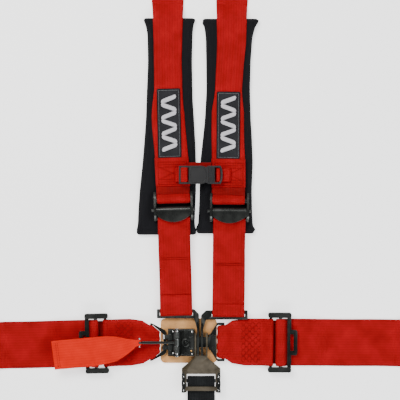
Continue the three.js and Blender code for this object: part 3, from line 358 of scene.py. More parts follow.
# Stitches: each one a small six-sided lozenge laid along its row and facing up, all rows in one mesh.
def stitches(name, rows, material, body, length, pitch, thick, stand=0.15):
    starts, ways = [], []
    for row in rows:
        row = np.asarray(row, float)
        runs = np.concatenate([[0], np.cumsum(np.linalg.norm(np.diff(row, axis=0), axis=1))])
        at = np.arange(pitch / 2, runs[-1], pitch)
        here, there, before = (np.stack([np.interp(spots, runs, row[:, k]) for k in range(3)], axis=1)
                               for spots in (at, np.minimum(at + 0.2, runs[-1]), np.maximum(at - 0.2, 0)))
        starts.append(here)
        ways.append(there - before)
    here, way = np.concatenate(starts), np.concatenate(ways)
    way /= np.linalg.norm(way, axis=1)[:, None]
    normal = np.array([0.0, 0.0, 1.0])
    side = np.cross(normal, way)
    stations = np.array([-0.5, -0.32, 0.0, 0.32, 0.5])
    girth = np.array([0.25, 0.85, 1.0, 0.85, 0.25])
    t = np.linspace(0, 2 * pi, 6, endpoint=False)
    shape = (here[:, None, None] + (stations * length)[None, :, None, None] * way[:, None, None]
             + (girth[:, None] * np.cos(t) * thick)[None, ..., None] * side[:, None, None]
             + (girth[:, None] * np.sin(t) * thick * 0.7 + stand)[None, ..., None] * normal)
    one = np.array(gridFaces(5, 6))
    ends = [list(range(6))[::-1], [24 + k for k in range(6)]]
    faces = (one[None] + 30 * np.arange(len(here))[:, None, None]).reshape(-1, 4).tolist()
    caps = [[k + 30 * i for k in end] for i in range(len(here)) for end in ends]
    uv = np.zeros((len(here) * 30, 2))
    uv[:, 1] = np.arange(len(uv)) * 0.0001
    return finish(name, shape.reshape(-1, 3) * mm, faces + caps, material, body, uv)


# A hard piece from its mesh: smooth faces, and its edges rounded, so they catch light.
def hardPiece(data, material, body, width, segments):
    made = bpy.data.objects.new(data.name, data)
    scene.collection.objects.link(made)
    data.materials.append(material)
    data.polygons.foreach_set("use_smooth", [True] * len(data.polygons))
    rounding = made.modifiers.new("edges", "BEVEL")
    rounding.width = width * mm
    rounding.segments = segments
    rounding.limit_method = "ANGLE"
    rounding.angle_limit = radians(38)
    rounding.harden_normals = True
    data.set_sharp_from_angle(angle=radians(38))
    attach(made, body)
    return made


# A machined copy of a frame piece, with its flat faces made whole.
def machined(node, material, width, segments=2):
    source = frame["nodes"][node]
    work = bmesh.new()
    work.from_mesh(source.data)
    bmesh.ops.remove_doubles(work, verts=work.verts, dist=0.00001)
    bmesh.ops.dissolve_limit(work, angle_limit=radians(1.0), verts=work.verts, edges=work.edges)
    data = bpy.data.meshes.new(f"{node}_finished")
    work.to_mesh(data)
    work.free()
    made = hardPiece(data, material, source["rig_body"], width, segments)
    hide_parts(node)
    return made


# Where each belt starts, at the buckle or its link, in millimetres.
lineStarts = {
    "left_shoulder": (-38.5, -180.0), "right_shoulder": (46.0, -182.0),
    "left_lap": (-79.0, -230.5), "right_lap": (38.0, -230.5), "sub": (1.8, -292.0),
}
ply = 1.7


# One of the five belts: w runs along it from its start to its bracket, u across, z up.
class BeltLine:
    def __init__(self, name):
        fold = joints[f"{name}_bracket_fold"]
        self.start = np.array([*lineStarts[name], 0.0])
        self.across = np.array(fold["axis"], float)
        self.along = np.cross([0.0, 0.0, 1.0], self.across)
        self.bar = float(np.dot(np.array(fold["pos_m"]) / mm - self.start, self.along))

    def place(self, w, z, u=0.0):
        w, z, u = np.broadcast_arrays(np.asarray(w, float), np.asarray(z, float), np.asarray(u, float))
        return (self.start + w[..., None] * self.along + u[..., None] * self.across
                + z[..., None] * np.array([0.0, 0.0, 1.0]))


# A strap line that is not one of the five belts: from a point, along a direction.
class ShortLine:
    def __init__(self, start, degrees):
        turned = radians(degrees)
        self.start = np.array([*start, 0.0])
        self.along = np.array([cos(turned), sin(turned), 0.0])
        self.across = np.array([sin(turned), -cos(turned), 0.0])

    place = BeltLine.place


lines = {name: BeltLine(name) for name in lineStarts}


# The end of a belt at its bracket: over the slide's middle bar, round the bracket's bar, back under itself.
def anchorEnd(bar):
    middle = bar - 38.0
    return [(middle - 33, 0.95), (middle - 25, 2.8), (middle - 14, 3.0), (middle - 10, 5.0),
            (middle - 4.5, 9.9), (middle + 4.5, 9.9), (middle + 10, 5.0), (middle + 14, 3.2), (bar - 9, 6.0),
            *arc(bar, 6.0, 4.75, 110, -110), (bar - 9, 2.4), (middle + 14, 1.1), (middle + 9, 2.6),
            (middle + 4.5, 7.8), (middle - 4.5, 7.8), (middle - 9, 2.6), (middle - 14, 1.1),
            (middle - 27, 0.95)]


# The adjustable part: up over the slide bar from outside, down on its inner side, back out underneath.
def overSlideBar(at, inward, tail):
    out, low = at + 4.9, 7.9
    return [(at + tail, 1.0), (at + 18, 1.0), (at + 11, 1.5), (out, 3.6),
            *arc(at + 1.4 - inward, low, 4.25, 270, 90), *arc(out, low, 4.25, 90, -8)[1:],
            (at + 11.5, 4.6), (at + 16, 3.0), (at + 40, 2.9), (at + tail + 2, 2.9), (at + tail + 12, 0.95)]


beltSettings = {
    "lap": {"width": 76.2, "tail": 62.0}, "sub": {"width": 44.5, "tail": 30.0},
}
for name, at, inward, node, body, cloth, kind in (
        ("left_lap", 88.5, 0.0, "left_lap_outer_belt", "harness", redWebbing, "lap"),
        ("right_lap", 91.2, 3.4, "right_lap_outer_belt", "right_lap", redWebbing, "lap"),
        ("sub", 0.0, 3.6, "sub_belt", "harness", blackWebbing, "sub")):
    line, settings = lines[name], beltSettings[kind]
    path = overSlideBar(at, inward, settings["tail"]) + anchorEnd(line.bar)
    belt = webbing(f"{node}_strap", line, path, settings["width"], ply, cloth, body,
                   seed=len(node), wander=0.1)
    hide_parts(node)
    if kind == "lap":
        # A ply under the slide bar in the shaded copy of the red webbing: its darkness is painted shade.
        webbing(f"{name}_tail_shade_ply", line, [(at - 24, 0.55), (at, 0.55), (at + 9, 0.55)], 71.0, 0.8, paintedShadeRed,
                body, seed=2)
print("outer belts ready")


# The doubled belt between a buckle loop and the adjuster's inner bar, sewn into one long closed turn.
def innerPath(loopZ, loopRadius, back, innerBar):
    return [(30, 2.3), (12, 2.6), (4, loopZ - loopRadius + 0.3), *arc(back, loopZ, loopRadius, 270, 90),
            (3, loopZ + loopRadius - 0.1), (14, 5.4), (26, 4.5), (innerBar - 15, 4.6), (innerBar - 7, 8.2),
            *arc(innerBar, 7.4, 4.1, 105, -105), (innerBar - 8, 3.4), (innerBar - 15, 2.4), (34, 2.3)]


innerSettings = {
    "left_lap": {"at": 88.5, "loopZ": 7.3, "radius": 2.75, "back": -11.0, "body": "harness",
                 "width": ([-16, -9, -2, 3, 14, 34], [30, 42, 55.0, 55.6, 69.5, 76.2])},
    "right_lap": {"at": 91.2, "loopZ": 6.1, "radius": 2.95, "back": -7.2, "body": "right_lap",
                  "width": ([-12, -8, -3, 3, 14, 34], [45, 52, 54.2, 54.6, 69.5, 76.2])},
}
for name, settings in innerSettings.items():
    where, wide = settings["width"]
    path = innerPath(settings["loopZ"], settings["radius"], settings["back"], settings["at"] - 14.5)
    belt = webbing(f"{name}_inner_strap", lines[name], path,
                   lambda w, where=where, wide=wide: np.interp(w, where, wide), ply, redWebbing,
                   settings["body"], gather=1.1, seed=5, wander=0.1)
    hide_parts(f"{name}_inner_belt")
print("inner belts ready")

shoulderSettings = {
    "left": {"topLayer": 27.0, "seam": 86.7,
             "where": [165, 190, 202, 243, 300, 318, 345, 361, 403, 439, 478, 504, 620],
             "wide": [53, 54.5, 54, 53.8, 53.8, 53.2, 48, 45.6, 44.9, 46.2, 49, 51.8, 50.8],
             "shiftAt": [165, 202, 243, 300, 330, 361, 403, 439, 504, 560],
             "shift": [0.5, 0, -0.7, -4.6, -4.9, -3.6, -3.2, -1.9, -0.8, 0]},
    "right": {"topLayer": 13.5, "seam": 79.5,
              "where": [165, 190, 202, 243, 300, 325, 345, 360, 403, 439, 478, 504, 620],
              "wide": [52, 53.5, 53.8, 53.5, 52.6, 52.0, 46.5, 43.4, 44.5, 46.9, 49, 51.2, 50.8],
              "shiftAt": [165, 202, 243, 300, 330, 361, 403, 439, 504, 560],
              "shift": [-1.5, -1.9, -2.1, -4.0, -4.2, -3.1, -1.0, 0.9, 1.2, 0]},
}
for side, settings in shoulderSettings.items():
    line = lines[f"{side}_shoulder"]
    slip = lambda w, settings=settings: np.interp(w, settings["shiftAt"], settings["shift"])
    wide = lambda w, settings=settings: np.interp(w, settings["where"], settings["wide"])
    end = settings["topLayer"]
    thin = 1.5
    lower = [(end, 9.9), (60, 11.1), (100, 13.0), (112, 14.1), (134, 14.5), (143, 17.4),
             *arc(150.6, 15.8, 3.75, 115, -100), (142, 12.5), (134, 12.2), (112, 11.8), (96, 11.2), (60, 9.4),
             (24, 8.2), (12, 9.2), (5.2, 11.0), *arc(-3.0, 7.6, 4.95, 75, 285), (8, 3.6), (20, 5.4),
             (34, 6.9), (60, 7.7), (settings["seam"] + 6, 9.0)]
    lowerStrap = webbing(f"{side}_shoulder_lower_strap", line, lower, 52.2, thin, redWebbing, "harness",
                         seed=11, wander=0.14)
    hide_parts(f"{side}_shoulder_lower_belt")
    upper = [(246, 11.3), (202, 11.3), (193, 12.6), (187, 12.0), *arc(180.5, 17.6, 5.65, 285, 60),
             (187.5, 18.6), (191.5, 14.6), (196, 13.5), (243, 13.5), (250, 12.6), (257, 11.5), (300, 11.4),
             (470, 11.4), (480, 10.6), (490, 5.5), (500, 1.6), (508, 0.95)] + anchorEnd(line.bar)
    upperStrap = webbing(f"{side}_shoulder_upper_strap", line, upper, wide, ply, redWebbing, "harness",
                         gather=1.0, seed=3 if side == "left" else 4, wander=0.16, shift=slip)
    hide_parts(f"{side}_shoulder_upper_belt")
    sternum = [(202.5, 14.9), (206, 15.6), (222, 15.75), (244, 15.6), (248.5, 14.4)]
    webbing(f"{side}_sternum_ply", line, sternum,
            55.2, ply, redWebbing, "harness", seed=6, wander=0.16, shift=slip)
    # A dark sheet of painted shade over the dip between the sewn section and the roll, in the shaded copy of
    # the red webbing.
    fold = [(189.8, 17.9), (191.8, 15.6), (196, 14.6), (204, 14.4)]
    webbing(f"{side}_fold_painted_shade", line, fold, 53.2, 0.7, paintedShadeRed, "harness",
            seed=7, wander=0.1, shift=slip)
print("shoulder belts ready")

# The chest strap, across both sewn sections: two loops of webbing and a flap behind the buckle.
chestY = 40.5
chestLine = ShortLine((0.0, chestY), 0.0)
leftChest = [(-40, 18.1), (-38, 18.3), (-34, 20.4), (-31.4, 22.5), *arc(-28.4, 24.6, 2.4, 190, 90, 7),
             *arc(-22.4, 24.6, 2.4, 90, -40, 8), (-24, 21.6), (-30, 20.3), (-36, 20.0), (-39.5, 19.8)]
chestStrap = webbing("left_chest_webbing", chestLine, leftChest, 23.4, 1.3, redWebbing, "harness", seed=8,
                     step=0.8, ease=2, wander=0.05)
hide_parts("left_chest_strap")
# The flap behind the buckle is drawn in the shaded copy of the red webbing: its darkness is painted shade.
flapLine = ShortLine((0.0, chestY + 5.2), 0.0)
webbing("chest_backing_flap", flapLine, [(-19, 18.0), (-10, 18.4), (6, 18.3), (18.5, 17.9)], 30.0, 1.3,
        paintedShadeRed, "harness", seed=9, step=1.2, wander=0.12, bow=0.2)
rightChest = [(50, 17.9), (44, 18.0), (38, 18.6), (34.5, 20.4), *arc(29.4, 23.5, 2.9, 0, 215, 14), (30, 20.2),
              (36, 19.8), (42, 19.4), (48, 19.3)]
plugStrap = webbing("right_chest_webbing", chestLine, rightChest, 22.0, 1.3, redWebbing, "chest_plug",
                    seed=10, step=0.8, ease=2, wander=0.05)
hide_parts("right_chest_strap")

# The orange pull tab: a folded strap that flares from its pin.
tabSettings = {"degrees": 187.5, "length": 141.0,
               "where": [-4, 6, 10, 30, 40, 54, 81, 134, 141],
               "wide": [9, 10.5, 15.5, 33, 40.5, 44.5, 47, 46.5, 46.2],
               "shiftAt": [-4, 6, 20, 40, 81, 134], "shift": [0, 0.4, 3.2, 4.6, 4.8, 2.4]}
tabLine = ShortLine((-98.0, -230.5), tabSettings["degrees"])
tabEnd = tabSettings["length"]
tabPath = [(tabEnd, 19.3), (60, 19.4), (12, 19.6), (5, 20.9), *arc(0, 18.7, 2.6, 70, 290), (5, 16.9),
           (12, 17.9), (60, 18.0), (tabEnd, 18.0)]
tab = webbing("pull_tab_strap", tabLine, tabPath,
              lambda w: np.interp(w, tabSettings["where"], tabSettings["wide"]),
              1.15, orangeStrap, "pull_tab", seed=21, step=0.9, wander=0.1,
              shift=lambda w: -np.interp(w, tabSettings["shiftAt"], tabSettings["shift"]))
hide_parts("pull_tab")
print("chest strap and tab ready")

# Shoulder pads: stuffed cushions pressed flat where the belts and adjusters lie on them.
padSettings = {
    "left": {"y": [-56, -50, -40, -15, 16, 60, 86, 130, 162, 224, 270, 286, 295],
             "middle": [-54.6, -54.6, -54.9, -54.0, -52.2, -50.0, -49.2, -48.8, -49.4, -48.8, -48.8, -49.4,
                        -50.2],
             "half": [48.4, 47.4, 45.6, 45.6, 45.2, 42.8, 41.4, 38.6, 37.0, 35.2, 36.2, 38.6, 42.6]},
    "right": {"y": [-54, -49, -40, -15, 16, 61, 105, 130, 178, 224, 264, 282, 294],
              "middle": [41.2, 41.2, 41.4, 41.5, 41.8, 43.1, 44.7, 45.2, 45.8, 46.2, 47.2, 48.4, 49.4],
              "half": [47.2, 46.0, 43.8, 42.6, 41.8, 42.2, 38.9, 36.8, 34.8, 35.6, 37.4, 41.0, 46.0]},
}
padMake = {"fill": 0.7, "voxel": 5.0, "pressure": 4.0, "frames": 20, "shrink": 0.965, "mostMove": 3.2,
           "beltHalf": 27.0, "frameHalf": 36.0, "pressed": 9.7, "ease": 7.0, "tape": 2.2, "inset": 0.1}


# A closed outline through both edges of the pad, its corners eased by a running average round the loop.
def padOutline(settings, grow=0.0, step=1.5, ease=4):
    y = np.linspace(settings["y"][0], settings["y"][-1], 220)
    middle = np.interp(y, settings["y"], settings["middle"])
    half = np.interp(y, settings["y"], settings["half"]) + grow
    bend = np.convolve(np.pad(half, 3, mode="edge"), np.ones(7) / 7, "valid")
    slide = np.convolve(np.pad(middle, 3, mode="edge"), np.ones(7) / 7, "valid")
    ends = np.array([y[0] - grow, y[-1] + grow])
    left = np.stack([slide - bend, y], axis=1)
    right = np.stack([slide + bend, y], axis=1)[::-1]
    left[0, 1], right[-1, 1], left[-1, 1], right[0, 1] = ends[0], ends[0], ends[1], ends[1]
    loop = np.concatenate([left, right, left[:1]])
    runs = np.concatenate([[0], np.cumsum(np.linalg.norm(np.diff(loop, axis=0), axis=1))])
    at = np.linspace(0, runs[-1], int(runs[-1] / step), endpoint=False)
    even = np.stack([np.interp(at, runs, loop[:, k]) for k in (0, 1)], axis=1)
    for _ in range(ease):
        even = (np.roll(even, 1, axis=0) + 2 * even + np.roll(even, -1, axis=0)) / 4
    return even


# The mesh as its modifiers leave it.
def settled(made):
    bpy.context.view_layer.update()
    return bpy.data.meshes.new_from_object(made.evaluated_get(bpy.context.evaluated_depsgraph_get()))


# A mesh's points as rows of x, y, z.
def places(data):
    found = np.empty(len(data.vertices) * 3)
    data.vertices.foreach_get("co", found)
    return found.reshape(-1, 3)


# The stuffing: the shell is remeshed, blown up a little by cloth pressure and kept near where it began.
def inflate(source, name):
    data = source.data.copy()
    made = bpy.data.objects.new(name, data)
    scene.collection.objects.link(made)
    work = bmesh.new()
    work.from_mesh(data)
    bmesh.ops.remove_doubles(work, verts=work.verts, dist=0.00002)
    middle = sum((vert.co for vert in work.verts), work.verts[:][0].co * 0) / len(work.verts)
    for vert in work.verts:
        vert.co.x = middle.x + (vert.co.x - middle.x) * padMake["shrink"]
        vert.co.z = 0.0012 + vert.co.z * 0.72
    work.to_mesh(data)
    work.free()
    bpy.context.view_layer.objects.active = made
    remesh = made.modifiers.new("voxels", "REMESH")
    remesh.mode = "VOXEL"
    remesh.voxel_size = padMake["voxel"] * mm
    shell = settled(made)
    made.modifiers.clear()
    made.data = shell
    before = places(shell)
    cloth = made.modifiers.new("stuffing", "CLOTH")
    cloth.settings.quality = 5
    cloth.settings.mass = 0.2
    cloth.settings.tension_stiffness = 12
    cloth.settings.compression_stiffness = 12
    cloth.settings.bending_stiffness = 0.4
    cloth.settings.use_pressure = True
    cloth.settings.uniform_pressure_force = padMake["pressure"]
    cloth.settings.effector_weights.gravity = 0.0
    cloth.point_cache.frame_start = 1
    cloth.point_cache.frame_end = padMake["frames"]
    for step in range(1, padMake["frames"] + 1):
        scene.frame_set(step)
    blown = settled(made)
    scene.frame_set(1)
    made.modifiers.clear()
    made.data = blown
    move = places(blown) - before
    far = np.linalg.norm(move, axis=1, keepdims=True)
    most = padMake["mostMove"] * mm
    move *= np.minimum(1.0, most / np.maximum(far, 1e-9))
    blown.vertices.foreach_set("co", (before + move).ravel())
    finer = made.modifiers.new("smoother", "SUBSURF")
    finer.levels = finer.render_levels = 1
    smooth = settled(made)
    made.modifiers.clear()
    made.data = smooth
    return made


# The outline is fitted by stretching each row of the cushion sideways; the top is then pressed down to
# a level that rises smoothly at both sides of the belt.
def fitPad(made, settings, line):
    points = places(made.data) / mm
    low, high = points[:, 1].min(), points[:, 1].max()
    lowTo, highTo = settings["y"][0] + padMake["inset"], settings["y"][-1] - padMake["inset"]
    points[:, 1] = lowTo + (points[:, 1] - low) / (high - low) * (highTo - lowTo)
    bins = np.linspace(lowTo, highTo, 44)
    which = np.clip(np.digitize(points[:, 1], bins), 1, 43)
    reachLeft = np.array([points[which == k, 0].min() for k in range(1, 44)])
    reachRight = np.array([points[which == k, 0].max() for k in range(1, 44)])
    centres = (bins[1:] + bins[:-1]) / 2
    fromMiddle = np.interp(points[:, 1], centres, (reachLeft + reachRight) / 2)
    fromHalf = np.interp(points[:, 1], centres[2:-2], ((reachRight - reachLeft) / 2)[2:-2])
    toMiddle = np.interp(points[:, 1], settings["y"], settings["middle"])
    toHalf = np.interp(points[:, 1], settings["y"], settings["half"]) - padMake["inset"]
    points[:, 0] = toMiddle + (points[:, 0] - fromMiddle) * toHalf / fromHalf
    flat = points - line.start
    u = flat @ line.across
    underFrame = np.clip((18 - points[:, 1]) / 12, 0, 1)
    half = padMake["beltHalf"] + (padMake["frameHalf"] - padMake["beltHalf"]) * underFrame
    rise = np.clip((np.abs(u) - half) / padMake["ease"], 0, 1)
    level = padMake["pressed"] + 2.6 * rise * rise * (3 - 2 * rise)
    rng = np.random.default_rng(31)
    wave = rng.uniform(0, 2 * pi, 3)
    dimple = (0.35 * np.sin(points[:, 1] / 11 + points[:, 0] / 17 + wave[0])
              * np.sin(points[:, 0] / 9 + wave[1]))
    top = points[:, 2] > 4.0
    points[:, 2] += np.where(top, dimple * rise, 0)
    points[:, 2] = np.minimum(points[:, 2], level)
    points[:, 2] = np.maximum(points[:, 2], 0.2)
    made.data.vertices.foreach_set("co", (points * mm).ravel())
    made.data.update()


# Points let fall onto a mesh from above.
def dropOnto(made, points, lift=0.1):
    work = bmesh.new()
    work.from_mesh(made.data)
    tree = BVHTree.FromBMesh(work)
    heights = []
    for x, y in points:
        hit = tree.ray_cast((x * mm, y * mm, 0.06), (0, 0, -1))[0]
        heights.append(hit.z / mm if hit else np.nan)
    work.free()
    heights = np.array(heights)
    good = ~np.isnan(heights)
    order = np.arange(len(heights))
    heights = np.interp(order, order[good], heights[good]) + lift
    return np.column_stack([points, heights])


for side, settings in padSettings.items():
    line = lines[f"{side}_shoulder"]
    node = f"{side}_shoulder_pad"
    cushion = inflate(frame["nodes"][node], f"{side}_pad_cushion")
    fitPad(cushion, settings, line)
    cushion.data.materials.clear()
    cushion.data.materials.append(padCloth)
    cushion.data.polygons.foreach_set("use_smooth", [True] * len(cushion.data.polygons))
    cushion.data.polygons.foreach_set("material_index", [0] * len(cushion.data.polygons))
    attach(cushion, "harness")
    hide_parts(node)
    edge = padOutline(settings, -1.6)
    rimHeight = 4.6 + 0.25 * np.sin(np.arange(len(edge)) / 9.0)
    tube(f"{side}_pad_binding", np.column_stack([edge, rimHeight]), padMake["tape"], bindingTape, "harness",
         12, True)
    inner = dropOnto(cushion, padOutline(settings, -6.0, 1.2), 0.05)
    stitches(f"{side}_pad_edge_seam", [np.vstack([inner, inner[:1]])], bindingTape, "harness", 2.2, 3.1, 0.34)
    print(f"{side} pad ready")


# Patches: a felt panel with an overlocked border and a plain raised mark.
patchSettings = {"left": {"from": 248.6, "to": 360.2, "u": (-3.8, -3.3)},
                 "right": {"from": 248.6, "to": 357.0, "u": (-2.9, -3.2)}}
patchMake = {"half": 18.6, "thick": 1.1, "z": 12.5, "corner": 2.6}


# A flat panel with rounded corners: a grid whose outer rows are drawn in along a superellipse.
def panel(name, line, start, end, settings, material, body, shift, rows=70, columns=26):
    half, thick, z, corner = (settings[key] for key in ("half", "thick", "z", "corner"))
    v = np.linspace(0, 1, rows)
    t = np.linspace(-1, 1, columns)
    w = start + v * (end - start)
    fromEnd = np.minimum(w - start, end - w)
    inset = corner - np.sqrt(np.clip(corner ** 2 - np.clip(corner - fromEnd, 0, corner) ** 2, 0, None))
    u = t[None, :] * (half - inset)[:, None] + shift(w)[:, None]
    bulge = 0.25 * (1 - t[None, :] ** 6) * np.clip(fromEnd / 2.0, 0, 1)[:, None]
    wave = 0.12 * np.sin(w / 15.0)[:, None] * np.cos(t * 2.2)[None, :]
    top = line.place(w[:, None], z + thick + bulge + wave, u)
    low = line.place(w[:, None], z, u)
    ring = np.concatenate([top, low[:, ::-1]], axis=1)
    bothFaces = np.concatenate([u, u[:, ::-1]], axis=1)
    uv = np.stack(np.broadcast_arrays(bothFaces, w[:, None]), axis=-1).reshape(-1, 2)
    count = 2 * columns
    faces = [face[::-1] for face in gridFaces(rows, count)]
    faces += [list(range(count)), [(rows - 1) * count + k for k in range(count)][::-1]]
    return finish(name, ring.reshape(-1, 3) * mm, faces, material, body, uv * mm)


# The mark: slanted bars of satin stitch, each a grid that rises in the middle and rounds at its ends.
def satinBars(name, line, bars, z, material, body):
    rows, columns = 9, 22
    shapes, faces = [], []
    t = np.linspace(-1, 1, rows)[:, None]
    s = np.linspace(-1, 1, columns)[None, :]
    for index, (w, u, long, wide, slant) in enumerate(bars):
        narrow = np.sqrt(np.clip(1 - np.abs(s) ** 10, 0.0, 1))
        du = s * long / 2
        dw = t * wide / 2 * narrow + slant * s * long / 2
        height = z + 0.55 * (1 - t ** 4) * narrow
        shapes.append(line.place(w + dw, height, u + du).reshape(-1, 3))
        faces += gridFaces(rows, columns, False, False, index * rows * columns)
    points = np.concatenate(shapes)
    uv = np.stack([np.tile(np.linspace(0, 0.02, columns), rows * len(bars)),
                   np.repeat(np.linspace(0, 0.004, rows * len(bars)), columns)], axis=1)
    made = finish(name, points * mm, faces, material, body, uv)
    thicker = made.modifiers.new("thickness", "SOLIDIFY")
    thicker.thickness = 0.0004
    thicker.offset = -1
    return made


rim = np.array([(-1, 0), (1, 0), (1, 1), (-1, 1), (-1, 0)], float)
for side, settings in patchSettings.items():
    line = lines[f"{side}_shoulder"]
    start, end = settings["from"], settings["to"]
    slip = lambda w, start=start, end=end, u=settings["u"]: np.interp(w, [start, end], u)
    made = panel(f"{side}_patch_panel", line, start, end, patchMake, patchCloth, "harness", slip)
    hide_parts(f"{side}_pad_patch")
    loops = []
    for inset, height, ease in ((0.4, 1.0, 5), (2.3, 1.25, 2)):
        across = rim[:, 0] * (patchMake["half"] - inset)
        alongAt = start + inset + rim[:, 1] * (end - start - 2 * inset)
        loop = evenLine(np.column_stack([alongAt, across + slip(alongAt)]), 0.7, ease)
        loops.append(line.place(loop[:, 0], patchMake["z"] + height, loop[:, 1]))
    border, seamLine = loops
    tube(f"{side}_patch_border", border[:-1], 0.85, bindingTape, "harness", 8, True)
    stitches(f"{side}_patch_seam", [seamLine], greyThread, "harness", 1.9, 2.3, 0.3)
    middle = slip((start + end) / 2)
    marks = [(start + 17 + 13.0 * k, middle, 25.0, 7.4, 0.36 * (-1) ** k) for k in range(7)]
    satinBars(f"{side}_patch_mark", line, marks, patchMake["z"] + 1.3, paleThread, "harness")
print("patches ready")


# A row of stitches through (along, across) points at one height.
def beltRow(line, points, z):
    points = np.asarray(points, float)
    return line.place(points[:, 0], z, points[:, 1])


# A row that swings from side to side: a sine along the belt.
def waveRow(line, low, high, u, swing, length, z, phase):
    w = np.linspace(low, high, int((high - low) * 2.5))
    return line.place(w, z, u + swing * np.sin(2 * pi * w / length + phase))


for side, settings in shoulderSettings.items():
    line = lines[f"{side}_shoulder"]
    slipTo = float(np.interp(222, settings["shiftAt"], settings["shift"]))
    low, high, half, sewnZ = 205.5, 241.5, 23.0, 16.72
    box = [(low, -half), (low, half), (high, half), (high, -half), (low, -half)]
    rows = [beltRow(line, [(w, slipTo + u) for w, u in box], sewnZ)]
    rows += [beltRow(line, [(w, slipTo - 22), (w, slipTo + 22)], sewnZ) for w in (209.5, 213.5, 233.5, 237.5)]
    rows += [beltRow(line, [(214, slipTo + a), (233, slipTo - a)], sewnZ) for a in (-20, 20)]
    stitches(f"{side}_sternum_stitching", rows, redThread, "harness", 2.5, 3.2, 0.38)
    seam = settings["seam"]
    rows = [beltRow(line, [(w, -23.5), (w, 23.5)], zAt) for w, zAt in ((seam, 13.25), (seam - 3.0, 13.1))]
    stitches(f"{side}_lower_seam", rows, redThread, "harness", 2.5, 3.2, 0.38)
for name, settings in innerSettings.items():
    line = lines[name]
    sewnZ = 5.52
    rows = [waveRow(line, 29, 60, u, 2.6, 10.0, sewnZ, phase) for u, phase in
            zip(np.arange(-30, 31, 5.0), np.tile([0, pi], 7))]
    rows.append(beltRow(line, [(62.5, -35), (62.5, 35)], sewnZ))
    stitches(f"{name}_wave_stitching", rows, redThread, settings["body"], 2.0, 2.5, 0.34)
hemZ = 19.95
tabRows = [tabLine.place(np.full(30, w), hemZ, np.linspace(-19.5, 19.5, 30) - 2.4) for w in (131.5, 134.5)]
stitches("pull_tab_hem", tabRows, redThread, "pull_tab", 2.0, 2.8, 0.3)
print("stitching ready")

# Steel, plastic and leather pieces keep the frame's shapes, with rounded edges.
steelNodes = ["latch_base", "latch_keeper", "left_lap_loop", "left_shoulder_link", "right_shoulder_link",
              "left_lap_adjuster_frame", "left_shoulder_adjuster_frame", "right_shoulder_adjuster_frame",
              "left_lap_slide_bar", "right_lap_slide_bar", "sub_slide_bar", "left_lap_anchor_slide",
              "right_lap_anchor_slide", "sub_anchor_slide", "left_shoulder_anchor_slide",
              "right_shoulder_anchor_slide", "left_lap_anchor_bracket", "right_lap_anchor_bracket",
              "sub_anchor_bracket", "left_shoulder_anchor_bracket", "right_shoulder_anchor_bracket",
              "right_lap_link", "right_lap_adjuster_frame", "latch_lever", "latch_tongue", "latch_cover",
              "left_cam_lever", "right_cam_lever"]
softEdges = {"left_shoulder_link": 0.95, "right_shoulder_link": 0.95, "left_lap_loop": 0.8,
             "right_lap_link": 0.8, "left_cam_lever": 0.7, "right_cam_lever": 0.7}
for node in steelNodes:
    machined(node, blackSteel, softEdges.get(node, 0.5))
machined("sub_link", bronzeSteel, 0.45)
for node in ("pull_tab_pin", "lever_pivot_pin"):
    machined(node, zincSteel, 0.3)
for node in ("left_cam_lever_pin", "right_cam_lever_pin", "keeper_post_upper", "keeper_post_lower",
             "tongue_rivet_upper", "tongue_rivet_lower"):
    machined(node, blackSteel, 0.3)
for node in ("chest_buckle_socket", "chest_buckle_plug", "release_arm_upper", "release_arm_lower"):
    machined(node, blackPlastic, 0.9, 3)
machined("buckle_leather_pad", tanHide, 0.9, 3)


# A torsion spring: a wire wound as a helix along the pivot, round a solid core.
springSettings = {"radius": 4.9, "wire": 0.72, "turns": 7.4}
for side in ("upper", "lower"):
    low, high = (np.array(corner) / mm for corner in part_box(f"latch_spring_{side}"))
    t = np.linspace(0, 1, 260)
    angle = t * springSettings["turns"] * 2 * pi
    reach = springSettings["radius"]
    coil = np.stack([(low[0] + high[0]) / 2 + reach * np.cos(angle),
                     low[1] + 0.9 + t * (high[1] - low[1] - 1.8),
                     (low[2] + high[2]) / 2 + reach * np.sin(angle)], axis=1)
    wire = tube(f"latch_spring_{side}_coil", coil, springSettings["wire"], blackSteel, "harness", 8)
    core = np.stack([np.full(12, (low[0] + high[0]) / 2), np.linspace(low[1] + 0.3, high[1] - 0.3, 12),
                     np.full(12, (low[2] + high[2]) / 2)], axis=1)
    tube(f"latch_spring_{side}_core", core, reach - 0.7, blackSteel, "harness", 20)
    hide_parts(f"latch_spring_{side}")


# A plate: the outline at two heights, sides between them and a cap on each. An outline that runs clockwise,
# which is one whose signed area is below zero, is turned round, so its faces point outwards.
def stamping(name, outline, low, high, material, body, rounding):
    x, y = np.array(outline).T
    if np.sum(x * np.roll(y, -1) - y * np.roll(x, -1)) < 0:
        x, y = x[::-1], y[::-1]
    count = len(x)
    rings = np.concatenate([np.column_stack([x, y, np.full(count, z)]) for z in (low, high)]) * mm
    faces = gridFaces(2, count) + [list(range(count))[::-1], list(range(count, 2 * count))]
    data = bpy.data.meshes.new(name)
    data.from_pydata(rings.tolist(), [], faces)
    return hardPiece(data, material, body, rounding, 2)


# Points evenly round part of a circle, in degrees.
def openRing(x, y, z, radius, start, end, count):
    t = np.radians(np.linspace(start, end, count))
    return np.stack([x + radius * np.cos(t), y + radius * np.sin(t), np.full(count, float(z))], axis=1)


